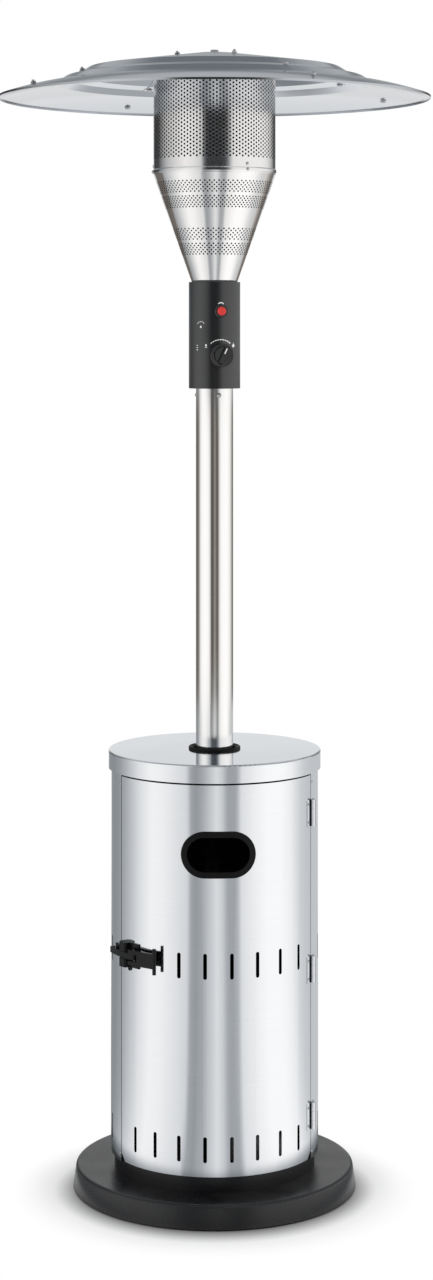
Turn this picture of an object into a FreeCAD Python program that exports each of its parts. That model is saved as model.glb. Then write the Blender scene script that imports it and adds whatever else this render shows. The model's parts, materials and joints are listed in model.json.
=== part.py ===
"""Free-standing gas patio heater: weighted base, bottle housing with a hinged door, pole,
control head, perforated emitter and a dish reflector of four panels.

Millimetres and degrees. +Z is up, the origin is on the floor at the pole's axis, and the
middle of the door faces -Y. A turn is counted about +Z from the front, towards +X.
"""
import FreeCAD, Part
import math
import os
import re
import Sketcher

V = FreeCAD.Vector

# Driving dimensions, by the piece that they belong to
SIZES = {
    # base and the deck that the housing stands on
    "base_rim_radius": 271, "base_taper": 5.4, "base_height": 46, "base_gauge": 2,
    "base_edge_round": 6, "base_lip": 34, "foot_height": 3, "foot_radius": 14,
    "foot_in": 21, "foot_count": 6, "deck_in": 7, "deck_rise": 27, "deck_gauge": 2,
    # housing walls, door and lid
    "wall_radius": 199, "wall_gauge": 1.2, "seam_turn": 64, "seam_gap": 0.8, "shell_flange": 14,
    "edge_return": 11, "housing_height": 765, "lid_overhang": 5, "lid_gauge": 1.5,
    "lid_skirt": 34, "lid_edge_round": 3, "lid_hole_play": 10, "door_top_gap": 4,
    "door_floor_gap": 3, "corner_cut": 15,
    # slots in the walls
    "slot_width": 7, "slot_length": 48, "slot_turn": 14.36, "door_slots": 8, "latch_slots": 2, "shell_slots": 15,
    "slot_low_rise": 53, "slot_over_latch": -5,
    # window in the door
    "window_drop": 166.4, "window_length": 117, "window_width": 64, "frame_band": 11,
    "frame_lap": 6, "frame_proud": 2.6, "frame_play": 0.3,
    # hinges of the door
    "hinge_drop": 71.4, "hinge_lift": 79.7, "hinge_sink": 9.35, "hinge_length": 50,
    "hinge_offset": 5, "barrel_radius": 4, "barrel_play": 0.6, "hinge_pin_radius": 2.4,
    "pin_head_rise": 1.5, "leaf_width": 17, "leaf_gauge": 1.4, "strap_inset": 0.15,
    "knuckle_length": 16, "knuckle_gap": 0.3, "pin_play": 0.05,
    # toggle latch
    "latch_over_middle": 32, "latch_turn": 54, "latch_length": 50, "latch_height": 46,
    "latch_plate": 2.5, "hood_right": -1, "hood_depth": 13.5, "hood_break": 3, "hood_chamfer": 6,
    "hood_slot": 13.2, "pivot_across": 12, "pivot_out": 8, "claw_pin_across": 9,
    "claw_pin_out": 1.5, "latch_pin_radius": 2, "pin_proud": 0.5, "ear_radius": 6.5,
    "ear_gauge": 3, "ear_gap": 15, "lever_play": 0.5, "cheek_gauge": 3, "cheek_radius": 4.6,
    "cheek_slope": 1.5, "lever_near": 2, "lever_near_out": 10.5, "lever_reach": 61,
    "lever_gauge": 3, "lever_tip_in": 5, "notch_reach": 22, "notch_back": 8, "notch_over": 2,
    "grip_height": 48, "grip_round": 3.5, "claw_height": 11, "claw_gauge": 2.4,
    "claw_clear": 10.7, "claw_eye": 3.2, "hook_turn": 70.7, "hook_turn_width": 0.85,
    "hook_reach": 6.4, "eye_radius": 4.5, "eye_hole": 2, "eye_drop": 3, "eye_across": 3, "keeper_turn": 68,
    "keeper_length": 22, "keeper_height": 22, "keeper_plate": 2, "keeper_rise": 6.4,
    "keeper_lap": 2, "ramp_left": -5.5, "ramp_crest": 3.5, "ramp_right": 9,
    # bar legs and the socket that carries the pole
    "leg_inset": 14, "leg_gauge": 5, "leg_width": 30, "leg_foot": 34, "foot_bend": 10,
    "leg_bend": 70, "leg_in": 26, "leg_turn": 60, "leg_count": 3, "socket_drop": 73, "socket_plate": 6,
    "socket_rim": 12, "socket_wall": 3, "socket_rise": 40, "spigot_play": 0.3,
    "bolt_radius": 4, "bolt_play": 0.3, "bolt_head": 6.5, "bolt_head_height": 5, "bolt_end": 2,
    "foot_bolt_in": 20, "socket_bolt_gap": 14,
    # pole
    "pole_radius": 36, "pole_gauge": 1.5, "pole_length": 759, "ring_lap": 3.8, "ring_play": 5,
    "ring_neck": 1, "ring_rise": 5, "pole_screw_drop": 13, "pole_screw_radius": 2.5,
    "pole_screw_head": 4.5, "pole_screw_rise": 2.4, "pole_screw_end": 1, "pole_screw_count": 3,
    # control head
    "head_turn": 12.3, "head_radius": 49.5, "head_gauge": 1.5, "head_height": 204,
    "cap_gauge": 3, "cap_lip": 8, "cap_spigot": 34, "mixer_radius": 12, "mixer_gauge": 1,
    "knob_rise": 63.6, "knob_radius": 22.5, "knob_wall": 2.2, "knob_gap": 6.3,
    "knob_skirt": 5, "knob_depth": 17, "knob_top": 2, "grip_radius": 17, "grip_bar": 7.5,
    "grip_step": 5, "grip_taper": 0.6, "grip_inset": 1.5, "pointer_turn": 25, "knob_push": 5,
    "boss_radius": 19.3, "boss_proud": 2.5, "spindle_radius": 4, "spindle_end": 9,
    "spindle_land": 5, "plunger_radius": 2.5, "plunger_length": 13, "push_play": 0.5,
    "button_rise": 148, "button_radius": 8.35, "button_proud": 9.5, "button_round": 2,
    "button_push": 4, "bezel_radius": 13, "bezel_neck": 10.6, "bezel_proud": 4,
    "bezel_flange": 3.4, "bezel_tail": 5, "igniter_radius": 9.6, "igniter_back": 15,
    "button_stem": 3, "stem_back": 12, "valve_width": 30, "valve_front": 21, "valve_back": 16,
    "valve_height": 38, "inlet_radius": 6.5, "inlet_neck": 1, "inlet_hex": 2,
    "inlet_length": 26, "jet_radius": 4.5, "jet_hex": 2, "jet_tip": 2, "jet_length": 16,
    "air_hole_rise": 16, "air_hole_length": 14, "air_hole_width": 7, "air_holes": 4,
    "tilt_width": 24, "tilt_depth": 14, "tilt_height": 30, "tilt_rise": 106,
    # burner
    "cone_low_radius": 44, "cone_gauge": 1, "cone_slant": 1.4, "cone_height": 207,
    "cone_bore_gap": 6, "screen_height": 193, "emitter_radius": 117.3, "emitter_gauge": 1,
    "cone_flange": 9, "tray_gauge": 1.2, "tray_upstand": 14, "seat_play": 0.2,
    "bead_height": 9, "bead_proud": 1.8, "bead_foot": 0.8, "bead_chamfer": 2,
    "burner_radius": 60, "burner_wall": 1.5, "burner_height": 30, "burner_neck": 10,
    "burner_slope": 12, "burner_edge": 6, "port_length": 8, "port_width": 4, "port_rise": 3,
    "port_count": 16, "probe_out": 78, "probe_radius": 2.2, "probe_rise": 46,
    "probe_drop": 30, "probe_flange": 6, "probe_seat": 3, "top_gauge": 1.5, "top_lip": 8,
    "top_rise": 6, "top_flat": 14, "top_slope": 18,
    # reflector
    "rim_drop": 49, "rim_lip": 4, "rim_radius": 415, "panel_gauge": 1, "outer_ring": 305,
    "outer_rise": 26, "outer_bow": 620, "step_one": 287, "step_one_rise": 37, "mid_ring": 262,
    "mid_rise": 43, "step_two": 243, "step_two_rise": 55, "crown_radius": 40, "crown_rise": 84,
    "crown_bore": 5, "panel_turn": 90, "first_seam": 25.8, "tongue_turn": 4, "hub_radius": 36,
    "hub_gauge": 2, "stud_circle": 28, "stud_radius": 3.5, "stud_count": 3, "nut_radius": 9, "nut_height": 6,
    "nut_slope": 2, "washer_radius": 22, "washer_gauge": 1.5,
    # how far a cut runs past what it cuts, how deep a joined part sinks in, an edge's break
    "cut_past": 10, "sink_in": 0.5, "edge_break": 1,
}

# Places that follow from the sizes above
PLACES = {
    "base_top_radius": "base_rim_radius - base_taper",
    "foot_circle": "base_rim_radius - foot_in",
    "deck_top": "base_height + deck_rise",
    "deck_radius": "wall_radius - deck_in",
    "lid_top": "deck_top + housing_height",
    "lid_low": "lid_top - lid_skirt",
    "lid_radius": "wall_radius + lid_overhang",
    "lid_hole_radius": "pole_radius + lid_hole_play",
    "ring_radius": "lid_hole_radius + ring_lap",
    "ring_bore": "pole_radius + ring_play",
    "shell_top": "lid_top - lid_gauge",
    "door_low": "deck_top + door_floor_gap",
    "door_high": "lid_low - door_top_gap",
    "seam_half": "seam_gap / 2",
    "inner_wall": "wall_radius - wall_gauge",
    "slot_low": "deck_top + slot_low_rise",
    "slot_high": "latch_mid + slot_over_latch",
    "window_mid": "lid_top - window_drop",
    "hinge_high": "door_high - hinge_drop",
    "hinge_low": "door_low + hinge_lift",
    "hinge_middle": "(hinge_high + hinge_low) / 2 - hinge_sink",
    "hinge_out": "wall_radius + hinge_offset",
    "latch_mid": "(door_low + door_high) / 2 + latch_over_middle",
    "hood_out": "wall_radius + hood_depth",
    "pivot_far": "wall_radius + pivot_out",
    "pin_hole": "latch_pin_radius + pin_play",
    "ear_low": "ear_gap / 2",
    "cheek_low": "ear_low + ear_gauge + lever_play",
    "cheek_high": "cheek_low + cheek_gauge",
    "claw_pin_x": "pivot_across + claw_pin_across",
    "claw_pin_y": "-(pivot_far + claw_pin_out)",
    "claw_inner": "wall_radius + claw_clear",
    "claw_outer": "claw_inner + claw_gauge",
    "hook_from_latch": "hook_turn - latch_turn",
    "leg_out": "deck_radius - leg_inset",
    "socket_low": "lid_top - socket_drop",
    "socket_top": "socket_low + socket_plate",
    "socket_bolt_out": "pole_radius + socket_bolt_gap",
    "socket_radius": "socket_bolt_out + socket_rim",
    "pole_bore": "pole_radius - pole_gauge",
    "spigot_radius": "pole_bore - spigot_play",
    "spigot_bore": "spigot_radius - socket_wall",
    "pole_top": "socket_top + pole_length",
    "head_low": "pole_top",
    "head_top": "head_low + head_height",
    "head_bore": "head_radius - head_gauge",
    "cap_seat": "head_bore - seat_play",
    "knob_mid": "head_low + knob_rise",
    "knob_back": "head_radius + knob_gap",
    "knob_front": "knob_back + knob_depth",
    "boss_front": "head_radius + boss_proud",
    "button_mid": "head_low + button_rise",
    "button_front": "head_radius + button_proud",
    "bezel_front": "head_radius + bezel_proud",
    "bezel_back": "head_bore - bezel_tail",
    "stem_end": "igniter_back + stem_back",
    "tilt_low": "head_low + tilt_rise",
    "valve_low": "knob_mid - valve_height / 2",
    "valve_top": "knob_mid + valve_height / 2",
    "cone_bore": "mixer_radius + cone_bore_gap",
    "mixer_play": "mixer_radius + seat_play",
    "emitter_low": "head_top + cone_height",
    "emitter_high": "emitter_low + screen_height",
    "emitter_bore": "emitter_radius - emitter_gauge",
    "tray_rim": "emitter_bore - seat_play",
    "tray_top": "emitter_low + tray_gauge",
    "burner_top": "tray_top + burner_height",
    "top_low": "emitter_high + top_rise",
    "rim_low": "emitter_high - rim_drop",
    "rim_z": "rim_low + rim_lip",
    "crown_z": "rim_z + crown_rise",
    "panel_low": "crown_z - panel_gauge * 2",
    "hub_low": "panel_low - hub_gauge",
}

WORD = re.compile(r"[a-z]+(?:_[a-z]+)+")
doc = FreeCAD.newDocument("PatioHeater")
sheet = doc.addObject("Spreadsheet::Sheet", "Sizes")
pieces = []


def fill_sheet():
    for row, (alias, number) in enumerate(SIZES.items(), start=1):
        sheet.set(f"A{row}", alias)
        sheet.set(f"B{row}", str(number))
        sheet.setAlias(f"B{row}", alias)
    doc.recompute()


def bound(text):
    """The expression with every size and place spelled out as cells of the sheet."""
    def cell(match):
        word = match.group()
        if word in PLACES:
            return "(" + bound(PLACES[word]) + ")"
        return "Sizes." + word
    return WORD.sub(cell, str(text))


def value(text):
    """The number that an expression gives now."""
    found = sheet.evalExpression(bound(text))
    return float(getattr(found, "Value", found))


def body(name, turn=None, lift=None):
    """A body of its own, turned about the pole's axis and lifted."""
    made = doc.addObject("PartDesign::Body", name)
    made.Label = name
    pieces.append(made)
    if turn is not None:
        made.Placement = FreeCAD.Placement(V(), FreeCAD.Rotation(V(0, 0, 1), 10))
        made.setExpression("Placement.Rotation.Angle", bound(turn))
    if lift is not None:
        made.setExpression("Placement.Base.z", bound(lift))
    return made


def sketch(owner, role, name, lift=None, turn=None, rise=None):
    """A sketch on an origin plane, lifted off it, turned about +Z or moved up along it."""
    drawn = owner.newObject("Sketcher::SketchObject", name)
    planes = [item for item in owner.Origin.OriginFeatures if item.Role == role]
    drawn.AttachmentSupport = (planes[0], "")
    drawn.MapMode = "FlatFace"
    if turn is not None:
        drawn.AttachmentOffset = FreeCAD.Placement(V(), FreeCAD.Rotation(V(0, 1, 0), 10))
        drawn.setExpression("AttachmentOffset.Rotation.Angle", bound(turn))
    if lift is not None:
        drawn.setExpression("AttachmentOffset.Base.z", bound(lift))
    if rise is not None:
        drawn.setExpression("AttachmentOffset.Base.y", bound(rise))
    return drawn


def pin_point(drawn, index, end, across, up):
    for kind, text in (("DistanceX", across), ("DistanceY", up)):
        number = value(text)
        place = drawn.addConstraint(Sketcher.Constraint(kind, index, end, number))
        drawn.setExpression(f"Constraints[{place}]", bound(text))


def pin_radius(drawn, index, text):
    place = drawn.addConstraint(Sketcher.Constraint("Radius", index, value(text)))
    drawn.setExpression(f"Constraints[{place}]", bound(text))


def pin_bend(drawn, index, corner, way):
    """A bend keeps its radius, but a half turn keeps its centre level with its two ends."""
    radius = value(corner[2][1:])
    if way.Length < 2 * radius - 1e-6:
        pin_radius(drawn, index, corner[2][1:])
        return
    level = abs(way.x) > abs(way.y)
    kind, text = ("DistanceY", corner[1]) if level else ("DistanceX", corner[0])
    place = drawn.addConstraint(Sketcher.Constraint(kind, index, 3, value(text)))
    drawn.setExpression(f"Constraints[{place}]", bound(text))


def arc_between(start, end, radius, left):
    """An arc from start to end whose centre is on the left or right of the way."""
    way = end - start
    rise = math.sqrt(max(radius ** 2 - way.Length ** 2 / 4, 0))
    side = V(-way.y, way.x, 0).normalize() * (rise if left else -rise)
    centre = (start + end) / 2 + side
    first, last = (start, end) if left else (end, start)
    opening = math.atan2(first.y - centre.y, first.x - centre.x)
    closing = math.atan2(last.y - centre.y, last.x - centre.x)
    circle = Part.Circle(centre, V(0, 0, 1), radius)
    return Part.ArcOfCircle(circle, opening, closing)


def outline(drawn, corners):
    """A closed outline. A third entry bends the way to the next corner: a radius, led by
    < for a centre on the left of the way and by > for one on the right."""
    spots = [V(value(corner[0]), value(corner[1]), 0) for corner in corners]
    ends = []
    for place, corner in enumerate(corners):
        start = spots[place]
        end = spots[(place + 1) % len(corners)]
        if len(corner) == 2:
            index = drawn.addGeometry(Part.LineSegment(start, end), False)
            ends.append((index, 1, 2))
            continue
        left = corner[2].startswith("<")
        bend = arc_between(start, end, value(corner[2][1:]), left)
        index = drawn.addGeometry(bend, False)
        ends.append((index, 1, 2) if left else (index, 2, 1))
    for place, (index, start, end) in enumerate(ends):
        after = ends[(place + 1) % len(ends)]
        drawn.addConstraint(Sketcher.Constraint("Coincident", index, end, after[0], after[1]))
    for place, (index, start, end) in enumerate(ends):
        corner = corners[place]
        pin_point(drawn, index, start, corner[0], corner[1])
        if len(corner) == 3:
            way = spots[(place + 1) % len(corners)] - spots[place]
            pin_bend(drawn, index, corner, way)


def circle(drawn, across, up, radius):
    centre = V(value(across), value(up), 0)
    index = drawn.addGeometry(Part.Circle(centre, V(0, 0, 1), value(radius)))
    pin_point(drawn, index, 3, across, up)
    pin_radius(drawn, index, radius)


def obround(drawn, across, up, length, width, upright=False):
    """A slot with round ends, lying along the sketch or standing up in it."""
    half = f"(({length}) - ({width})) / 2"
    side = f"({width}) / 2"
    if upright:
        corners = [(f"{across} + {side}", f"{up} - {half}"),
                   (f"{across} + {side}", f"{up} + {half}", f"<{side}"),
                   (f"{across} - {side}", f"{up} + {half}"),
                   (f"{across} - {side}", f"{up} - {half}", f"<{side}")]
    else:
        corners = [(f"{across} - {half}", f"{up} - {side}"),
                   (f"{across} + {half}", f"{up} - {side}", f"<{side}"),
                   (f"{across} + {half}", f"{up} + {side}"),
                   (f"{across} - {half}", f"{up} + {side}", f"<{side}")]
    outline(drawn, corners)


def box(drawn, left, right, low, high):
    outline(drawn, [(left, low), (right, low), (right, high), (left, high)])


def revolve(owner, drawn, name, span=None, axis="V_Axis", kind="PartDesign::Revolution"):
    made = owner.newObject(kind, name)
    made.Profile = drawn
    made.ReferenceAxis = (drawn, [axis])
    made.Angle = 360
    if span is not None:
        made.Midplane = True
        made.setExpression("Angle", bound(span))
    return made


def pad(owner, drawn, name, length, both=False, reverse=False):
    made = owner.newObject("PartDesign::Pad", name)
    made.Profile = drawn
    made.setExpression("Length", bound(length))
    made.Midplane = both
    made.Reversed = reverse
    return made


def pocket(owner, drawn, name, length, outward=True, both=False):
    """A cut along the sketch's normal, or against it."""
    made = owner.newObject("PartDesign::Pocket", name)
    made.Profile = drawn
    made.setExpression("Length", bound(length))
    made.Reversed = outward
    made.Midplane = both
    return made


def ring_pattern(owner, feature, name, count, turn):
    """Copies of a feature about the body's own Z axis, turn degrees apart."""
    made = owner.newObject("PartDesign::PolarPattern", name)
    axes = [item for item in owner.Origin.OriginFeatures if item.Role == "Z_Axis"]
    made.Originals = [feature]
    made.Axis = (axes[0], [""])
    made.Mode = "Spacing"
    made.setExpression("Offset", bound(turn))
    made.setExpression("Occurrences", bound(count))
    owner.Tip = made
    return made


def turned(name, corners, span=None, turn=None):
    """A body of revolution about the pole's axis, from an outline of radius and height."""
    made = body(name, turn)
    drawn = sketch(made, "XZ_Plane", name + "_section")
    outline(drawn, corners)
    revolve(made, drawn, name + "_turned", span)
    return made


def facing(name, height, corners, turn="head_turn"):
    """A body of revolution about a level line that faces out of the pole's axis, from an
    outline of distance in front of the axis and radius."""
    made = body(name, turn, height)
    drawn = sketch(made, "YZ_Plane", name + "_section")
    outline(drawn, [(f"-({corner[0]})", *corner[1:]) for corner in corners])
    revolve(made, drawn, name + "_turned", axis="H_Axis")
    return made


def base_cover():
    low, top = "foot_height", "base_height"
    turned("base_cover", [
        ("0", "base_height - base_gauge"),
        ("base_top_radius - base_edge_round", "base_height - base_gauge",
         ">base_edge_round - base_gauge"),
        ("base_top_radius - base_gauge", "base_height - base_edge_round"),
        ("base_rim_radius - base_gauge", f"{low} + base_gauge"),
        ("base_rim_radius - base_lip", f"{low} + base_gauge"),
        ("base_rim_radius - base_lip", low),
        ("base_rim_radius", low),
        ("base_top_radius", "base_height - base_edge_round", "<base_edge_round"),
        ("base_top_radius - base_edge_round", top),
        ("0", top)])


def base_feet():
    made = body("base_feet")
    drawn = sketch(made, "XY_Plane", "foot_outline")
    circle(drawn, "foot_circle", "0", "foot_radius")
    foot = pad(made, drawn, "foot", "foot_height")
    ring_pattern(made, foot, "foot_ring", "foot_count", "360 / foot_count")


def bolt_holes(owner, name, out, level, depth):
    """A bolt hole at each leg, down from a level."""
    drawn = sketch(owner, "XY_Plane", name, lift=f"{level} + cut_past")
    circle(drawn, "0", out, "bolt_radius + bolt_play")
    hole = pocket(owner, drawn, name + "_cut", f"{depth} + cut_past * 2", outward=False)
    ring_pattern(owner, hole, name + "_ring", "leg_count", "360 / leg_count")


def housing_plinth():
    made = turned("housing_plinth", [
        ("0", "deck_top - deck_gauge"),
        ("deck_radius - deck_gauge", "deck_top - deck_gauge"),
        ("deck_radius - deck_gauge", "base_height"),
        ("deck_radius", "base_height"),
        ("deck_radius", "deck_top"),
        ("0", "deck_top")])
    bolt_holes(made, "deck_hole", "leg_out - foot_bolt_in", "deck_top", "deck_gauge")


def wall_slots(owner, count, first, places):
    """Rows of upright slots through the wall, each row slot_turn apart."""
    for name, height in places:
        drawn = sketch(owner, "XZ_Plane", name + "_outline", turn=first)
        obround(drawn, "0", height, "slot_length", "slot_width", upright=True)
        slot = pocket(owner, drawn, name + "_slot", "wall_radius + cut_past")
        ring_pattern(owner, slot, name + "_row", count, "slot_turn")


def edge_strip(owner, name, turn, side, low, high):
    """The wall's own edge, folded inwards along a seam."""
    drawn = sketch(owner, "XY_Plane", name + "_outline", lift=low)
    near = f"{side} * (seam_half)"
    far = f"{side} * (seam_half + wall_gauge)"
    drawn.AttachmentOffset = FreeCAD.Placement(V(), FreeCAD.Rotation(V(0, 0, 1), 10))
    drawn.setExpression("AttachmentOffset.Rotation.Angle", bound(turn))
    box(drawn, *((near, far) if side == "1" else (far, near)),
        "-(wall_radius - wall_gauge / 2)", "-(wall_radius - edge_return)")
    pad(owner, drawn, name, f"{high} - ({low})")


def housing_back_shell():
    made = body("housing_back_shell", "180")
    drawn = sketch(made, "XZ_Plane", "shell_section", turn="-90")
    outline(drawn, [
        ("wall_radius - shell_flange", "deck_top"),
        ("wall_radius", "deck_top"),
        ("wall_radius", "shell_top"),
        ("inner_wall", "shell_top"),
        ("inner_wall", "deck_top + wall_gauge"),
        ("wall_radius - shell_flange", "deck_top + wall_gauge")])
    gap_turn = "2 * asin(seam_half / wall_radius) / 1 deg"
    revolve(made, drawn, "shell_wall", f"360 - seam_turn * 2 - {gap_turn}")
    wall_slots(made, "shell_slots", "-slot_turn * (shell_slots - 1) / 2",
               [("shell_low", "slot_low"), ("shell_high", "slot_high")])
    high = "shell_top"
    edge_strip(made, "left_return", "180 - seam_turn", "-1", "deck_top + wall_gauge / 2", high)
    edge_strip(made, "right_return", "180 + seam_turn", "1", "deck_top + wall_gauge / 2", high)


def housing_lid():
    turned("housing_lid", [
        ("lid_hole_radius", "shell_top"),
        ("lid_radius - lid_edge_round", "shell_top", ">lid_edge_round - lid_gauge"),
        ("lid_radius - lid_gauge", "lid_top - lid_edge_round"),
        ("lid_radius - lid_gauge", "lid_low"),
        ("lid_radius", "lid_low"),
        ("lid_radius", "lid_top - lid_edge_round", "<lid_edge_round"),
        ("lid_radius - lid_edge_round", "lid_top"),
        ("lid_hole_radius", "lid_top")])


def lid_ring():
    groove = "lid_hole_radius - frame_play"
    turned("lid_ring", [
        ("ring_bore", "shell_top - ring_rise / 2"),
        ("ring_radius - ring_neck", "shell_top - ring_rise / 2"),
        ("ring_radius - ring_neck", "shell_top"),
        (groove, "shell_top"),
        (groove, "lid_top"),
        ("ring_radius", "lid_top"),
        ("ring_radius", "lid_top + ring_rise / 2", "<ring_rise / 2"),
        ("ring_radius - ring_rise / 2", "lid_top + ring_rise"),
        ("ring_bore", "lid_top + ring_rise / 3")])


def door_panel():
    made = body("door_panel")
    drawn = sketch(made, "XZ_Plane", "door_section", turn="-90")
    box(drawn, "inner_wall", "wall_radius", "door_low", "door_high")
    gap_turn = "2 * asin(seam_half / wall_radius) / 1 deg"
    revolve(made, drawn, "door_wall", f"seam_turn * 2 - {gap_turn}")
    first = "-slot_turn * (door_slots - 1) / 2"
    wall_slots(made, "door_slots", first, [("door_lower", "slot_low")])
    wall_slots(made, "door_slots - latch_slots", f"{first} + slot_turn * latch_slots",
               [("door_upper", "slot_high")])
    drawn = sketch(made, "XZ_Plane", "window_outline")
    obround(drawn, "0", "window_mid", "window_length + frame_band", "window_width + frame_band")
    pocket(made, drawn, "window_hole", "wall_radius + cut_past")
    for name, side, turn in (("right", "-1", "seam_turn"), ("left", "1", "-seam_turn")):
        drawn = sketch(made, "XZ_Plane", name + "_corner", turn=turn)
        far, low = "(corner_cut + cut_past)", "door_low - cut_past"
        triangle = [(f"{side} * {far}", low), (f"-({side}) * cut_past", low),
                    (f"-({side}) * cut_past", f"door_low + {far}")]
        outline(drawn, triangle if side == "-1" else triangle[::-1])
        pocket(made, drawn, name + "_corner_cut", "wall_radius + cut_past")
        edge_strip(made, name + "_fold", turn, side, "door_low + corner_cut + seam_gap",
                   "door_high")


def tube_part(name, inner, outer):
    """A short upright tube about the pole's axis, at the window's height."""
    walls = []
    for part, radius in (("outer", outer), ("inner", inner)):
        wall = doc.addObject("Part::Cylinder", f"{name}_{part}")
        wall.setExpression("Radius", bound(radius))
        wall.setExpression("Height", bound("window_width * 2"))
        wall.setExpression("Placement.Base.z", bound("window_mid - window_width"))
        walls.append(wall)
    made = doc.addObject("Part::Cut", f"{name}_tube")
    made.Base, made.Tool = walls
    return made


def window_prism(name, band):
    """The window's outline, wider all round by half a band, run out of the pole's axis."""
    drawn = doc.addObject("Sketcher::SketchObject", name + "_outline")
    drawn.Placement = FreeCAD.Placement(V(), FreeCAD.Rotation(V(1, 0, 0), 90))
    obround(drawn, "0", "window_mid", f"window_length + {band}", f"window_width + {band}")
    made = doc.addObject("Part::Extrusion", name + "_prism")
    made.Base = drawn
    made.DirMode = "Normal"
    made.Solid = True
    made.setExpression("LengthFwd", bound("wall_radius + cut_past"))
    return made


def window_frame():
    """A rubber frame that grips the hole's edge: a lip in front, one behind and a web."""
    front_out, back_in = "wall_radius + frame_proud", "inner_wall - frame_proud"
    layers = (("front_lip", "wall_radius", front_out, "frame_band * 2"),
              ("web", back_in, front_out, "frame_band - frame_play * 2"),
              ("back_lip", back_in, "inner_wall", "frame_band + frame_lap"))
    parts = []
    for name, inner, outer, band in layers:
        made = doc.addObject("Part::Common", name)
        made.Base = tube_part(name, inner, outer)
        made.Tool = window_prism(name, band)
        parts.append(made)
    whole = doc.addObject("Part::MultiFuse", "frame_blank")
    whole.Shapes = parts
    made = doc.addObject("Part::Cut", "window_frame")
    made.Base = whole
    made.Tool = window_prism("light", "0")
    made.Label = "window_frame"
    pieces.append(made)


def hinge_leaf(owner, name, height, side, low, high):
    """One curved leaf on the wall, cut clear of the barrel, and the knuckle it wraps into."""
    mid_low = f"{height} - hinge_length / 2"
    inner, outer = "wall_radius", "wall_radius + leaf_gauge"
    clear = "(barrel_radius + barrel_play)"
    drawn = sketch(owner, "XY_Plane", name + "_leaf_outline", lift=mid_low)
    rim = [(f"{side} * {clear}", f"-sqrt(({inner})^2 - ({clear})^2)"),
           (f"{side} * leaf_width", f"-sqrt(({inner})^2 - leaf_width^2)"),
           (f"{side} * leaf_width", f"-sqrt(({outer})^2 - leaf_width^2)"),
           (f"{side} * {clear}", f"-sqrt(({outer})^2 - ({clear})^2)")]
    bends = ("<", ">") if side == "1" else (">", "<")
    rim[0] += (f"{bends[0]}{inner}",)
    rim[2] += (f"{bends[1]}{outer}",)
    outline(drawn, rim)
    pad(owner, drawn, name + "_leaf", "hinge_length")
    drawn = sketch(owner, "XY_Plane", name + "_strap_outline", lift=low)
    end, near, far = f"{side} * ({clear} + edge_break)", "strap_inset", "leaf_gauge - strap_inset"
    strap = [(end, f"-({inner} + {near})"), (end, f"-({inner} + {far})"),
             ("0", f"-({inner} + {far})"), ("0", f"-({inner} + {near})")]
    outline(drawn, strap if side == "-1" else strap[::-1])
    pad(owner, drawn, name + "_strap", f"{high} - ({low})")
    drawn = sketch(owner, "XY_Plane", name + "_barrel_outline", lift=low)
    circle(drawn, "0", "-hinge_out", "barrel_radius")
    pad(owner, drawn, name + "_barrel", f"{high} - ({low})")
    drawn = sketch(owner, "XY_Plane", name + "_bore_outline", lift=low)
    circle(drawn, "0", "-hinge_out", "hinge_pin_radius + pin_play")
    pocket(owner, drawn, name + "_bore", f"{high} - ({low})", outward=True)


HINGES = (("high", "hinge_high"), ("middle", "hinge_middle"), ("low", "hinge_low"))


def hinges():
    for place, height in HINGES:
        low, high = f"{height} - hinge_length / 2", f"{height} + hinge_length / 2"
        leaf = body(f"door_hinge_{place}", "seam_turn")
        hinge_leaf(leaf, f"door_{place}", height, "-1", f"{low} + knuckle_length + knuckle_gap",
                   f"{high} - knuckle_length - knuckle_gap")
        plate = body(f"shell_hinge_{place}", "seam_turn")
        hinge_leaf(plate, f"lower_{place}", height, "1", low, f"{low} + knuckle_length")
        hinge_leaf(plate, f"upper_{place}", height, "1", f"{high} - knuckle_length", high)


def hinge_pins():
    pins = body("hinge_pins", "seam_turn")
    for place, height in HINGES:
        low, high = f"{height} - hinge_length / 2", f"{height} + hinge_length / 2"
        for name, radius, start, length in (
                ("shank", "hinge_pin_radius", low, "hinge_length"),
                ("head", "barrel_radius - barrel_play", high, "pin_head_rise")):
            drawn = sketch(pins, "XY_Plane", f"{place}_{name}_outline", lift=start)
            circle(drawn, "0", "-hinge_out", radius)
            pad(pins, drawn, f"{place}_{name}", length)


def wall_plate(owner, name, reach, gauge, height, mid):
    """A plate bent round the wall's outside, reach wide and centred on the body's front."""
    drawn = sketch(owner, "XY_Plane", name + "_outline", lift=mid)
    half, outer = f"{reach} / 2", f"wall_radius + {gauge}"
    outline(drawn, [
        (f"-{half}", f"-sqrt(wall_radius^2 - ({half})^2)", "<wall_radius"),
        (half, f"-sqrt(wall_radius^2 - ({half})^2)"),
        (half, f"-sqrt(({outer})^2 - ({half})^2)", f">{outer}"),
        (f"-{half}", f"-sqrt(({outer})^2 - ({half})^2)")])
    pad(owner, drawn, name, height, both=True)


def pair(owner, name, low, high, draw):
    """The same outline padded above the latch's middle and, as a mirror of it, below."""
    for side, start in (("upper", low), ("lower", f"-({high})")):
        drawn = sketch(owner, "XY_Plane", f"{name}_{side}_outline", lift=f"latch_mid + {start}")
        draw(drawn)
        pad(owner, drawn, f"{name}_{side}", f"{high} - ({low})")


def pin_bore(owner, name, across, down):
    drawn = sketch(owner, "XY_Plane", name + "_outline", lift="latch_mid")
    circle(drawn, across, down, "pin_hole")
    pocket(owner, drawn, name, "latch_height * 2", both=True)


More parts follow.
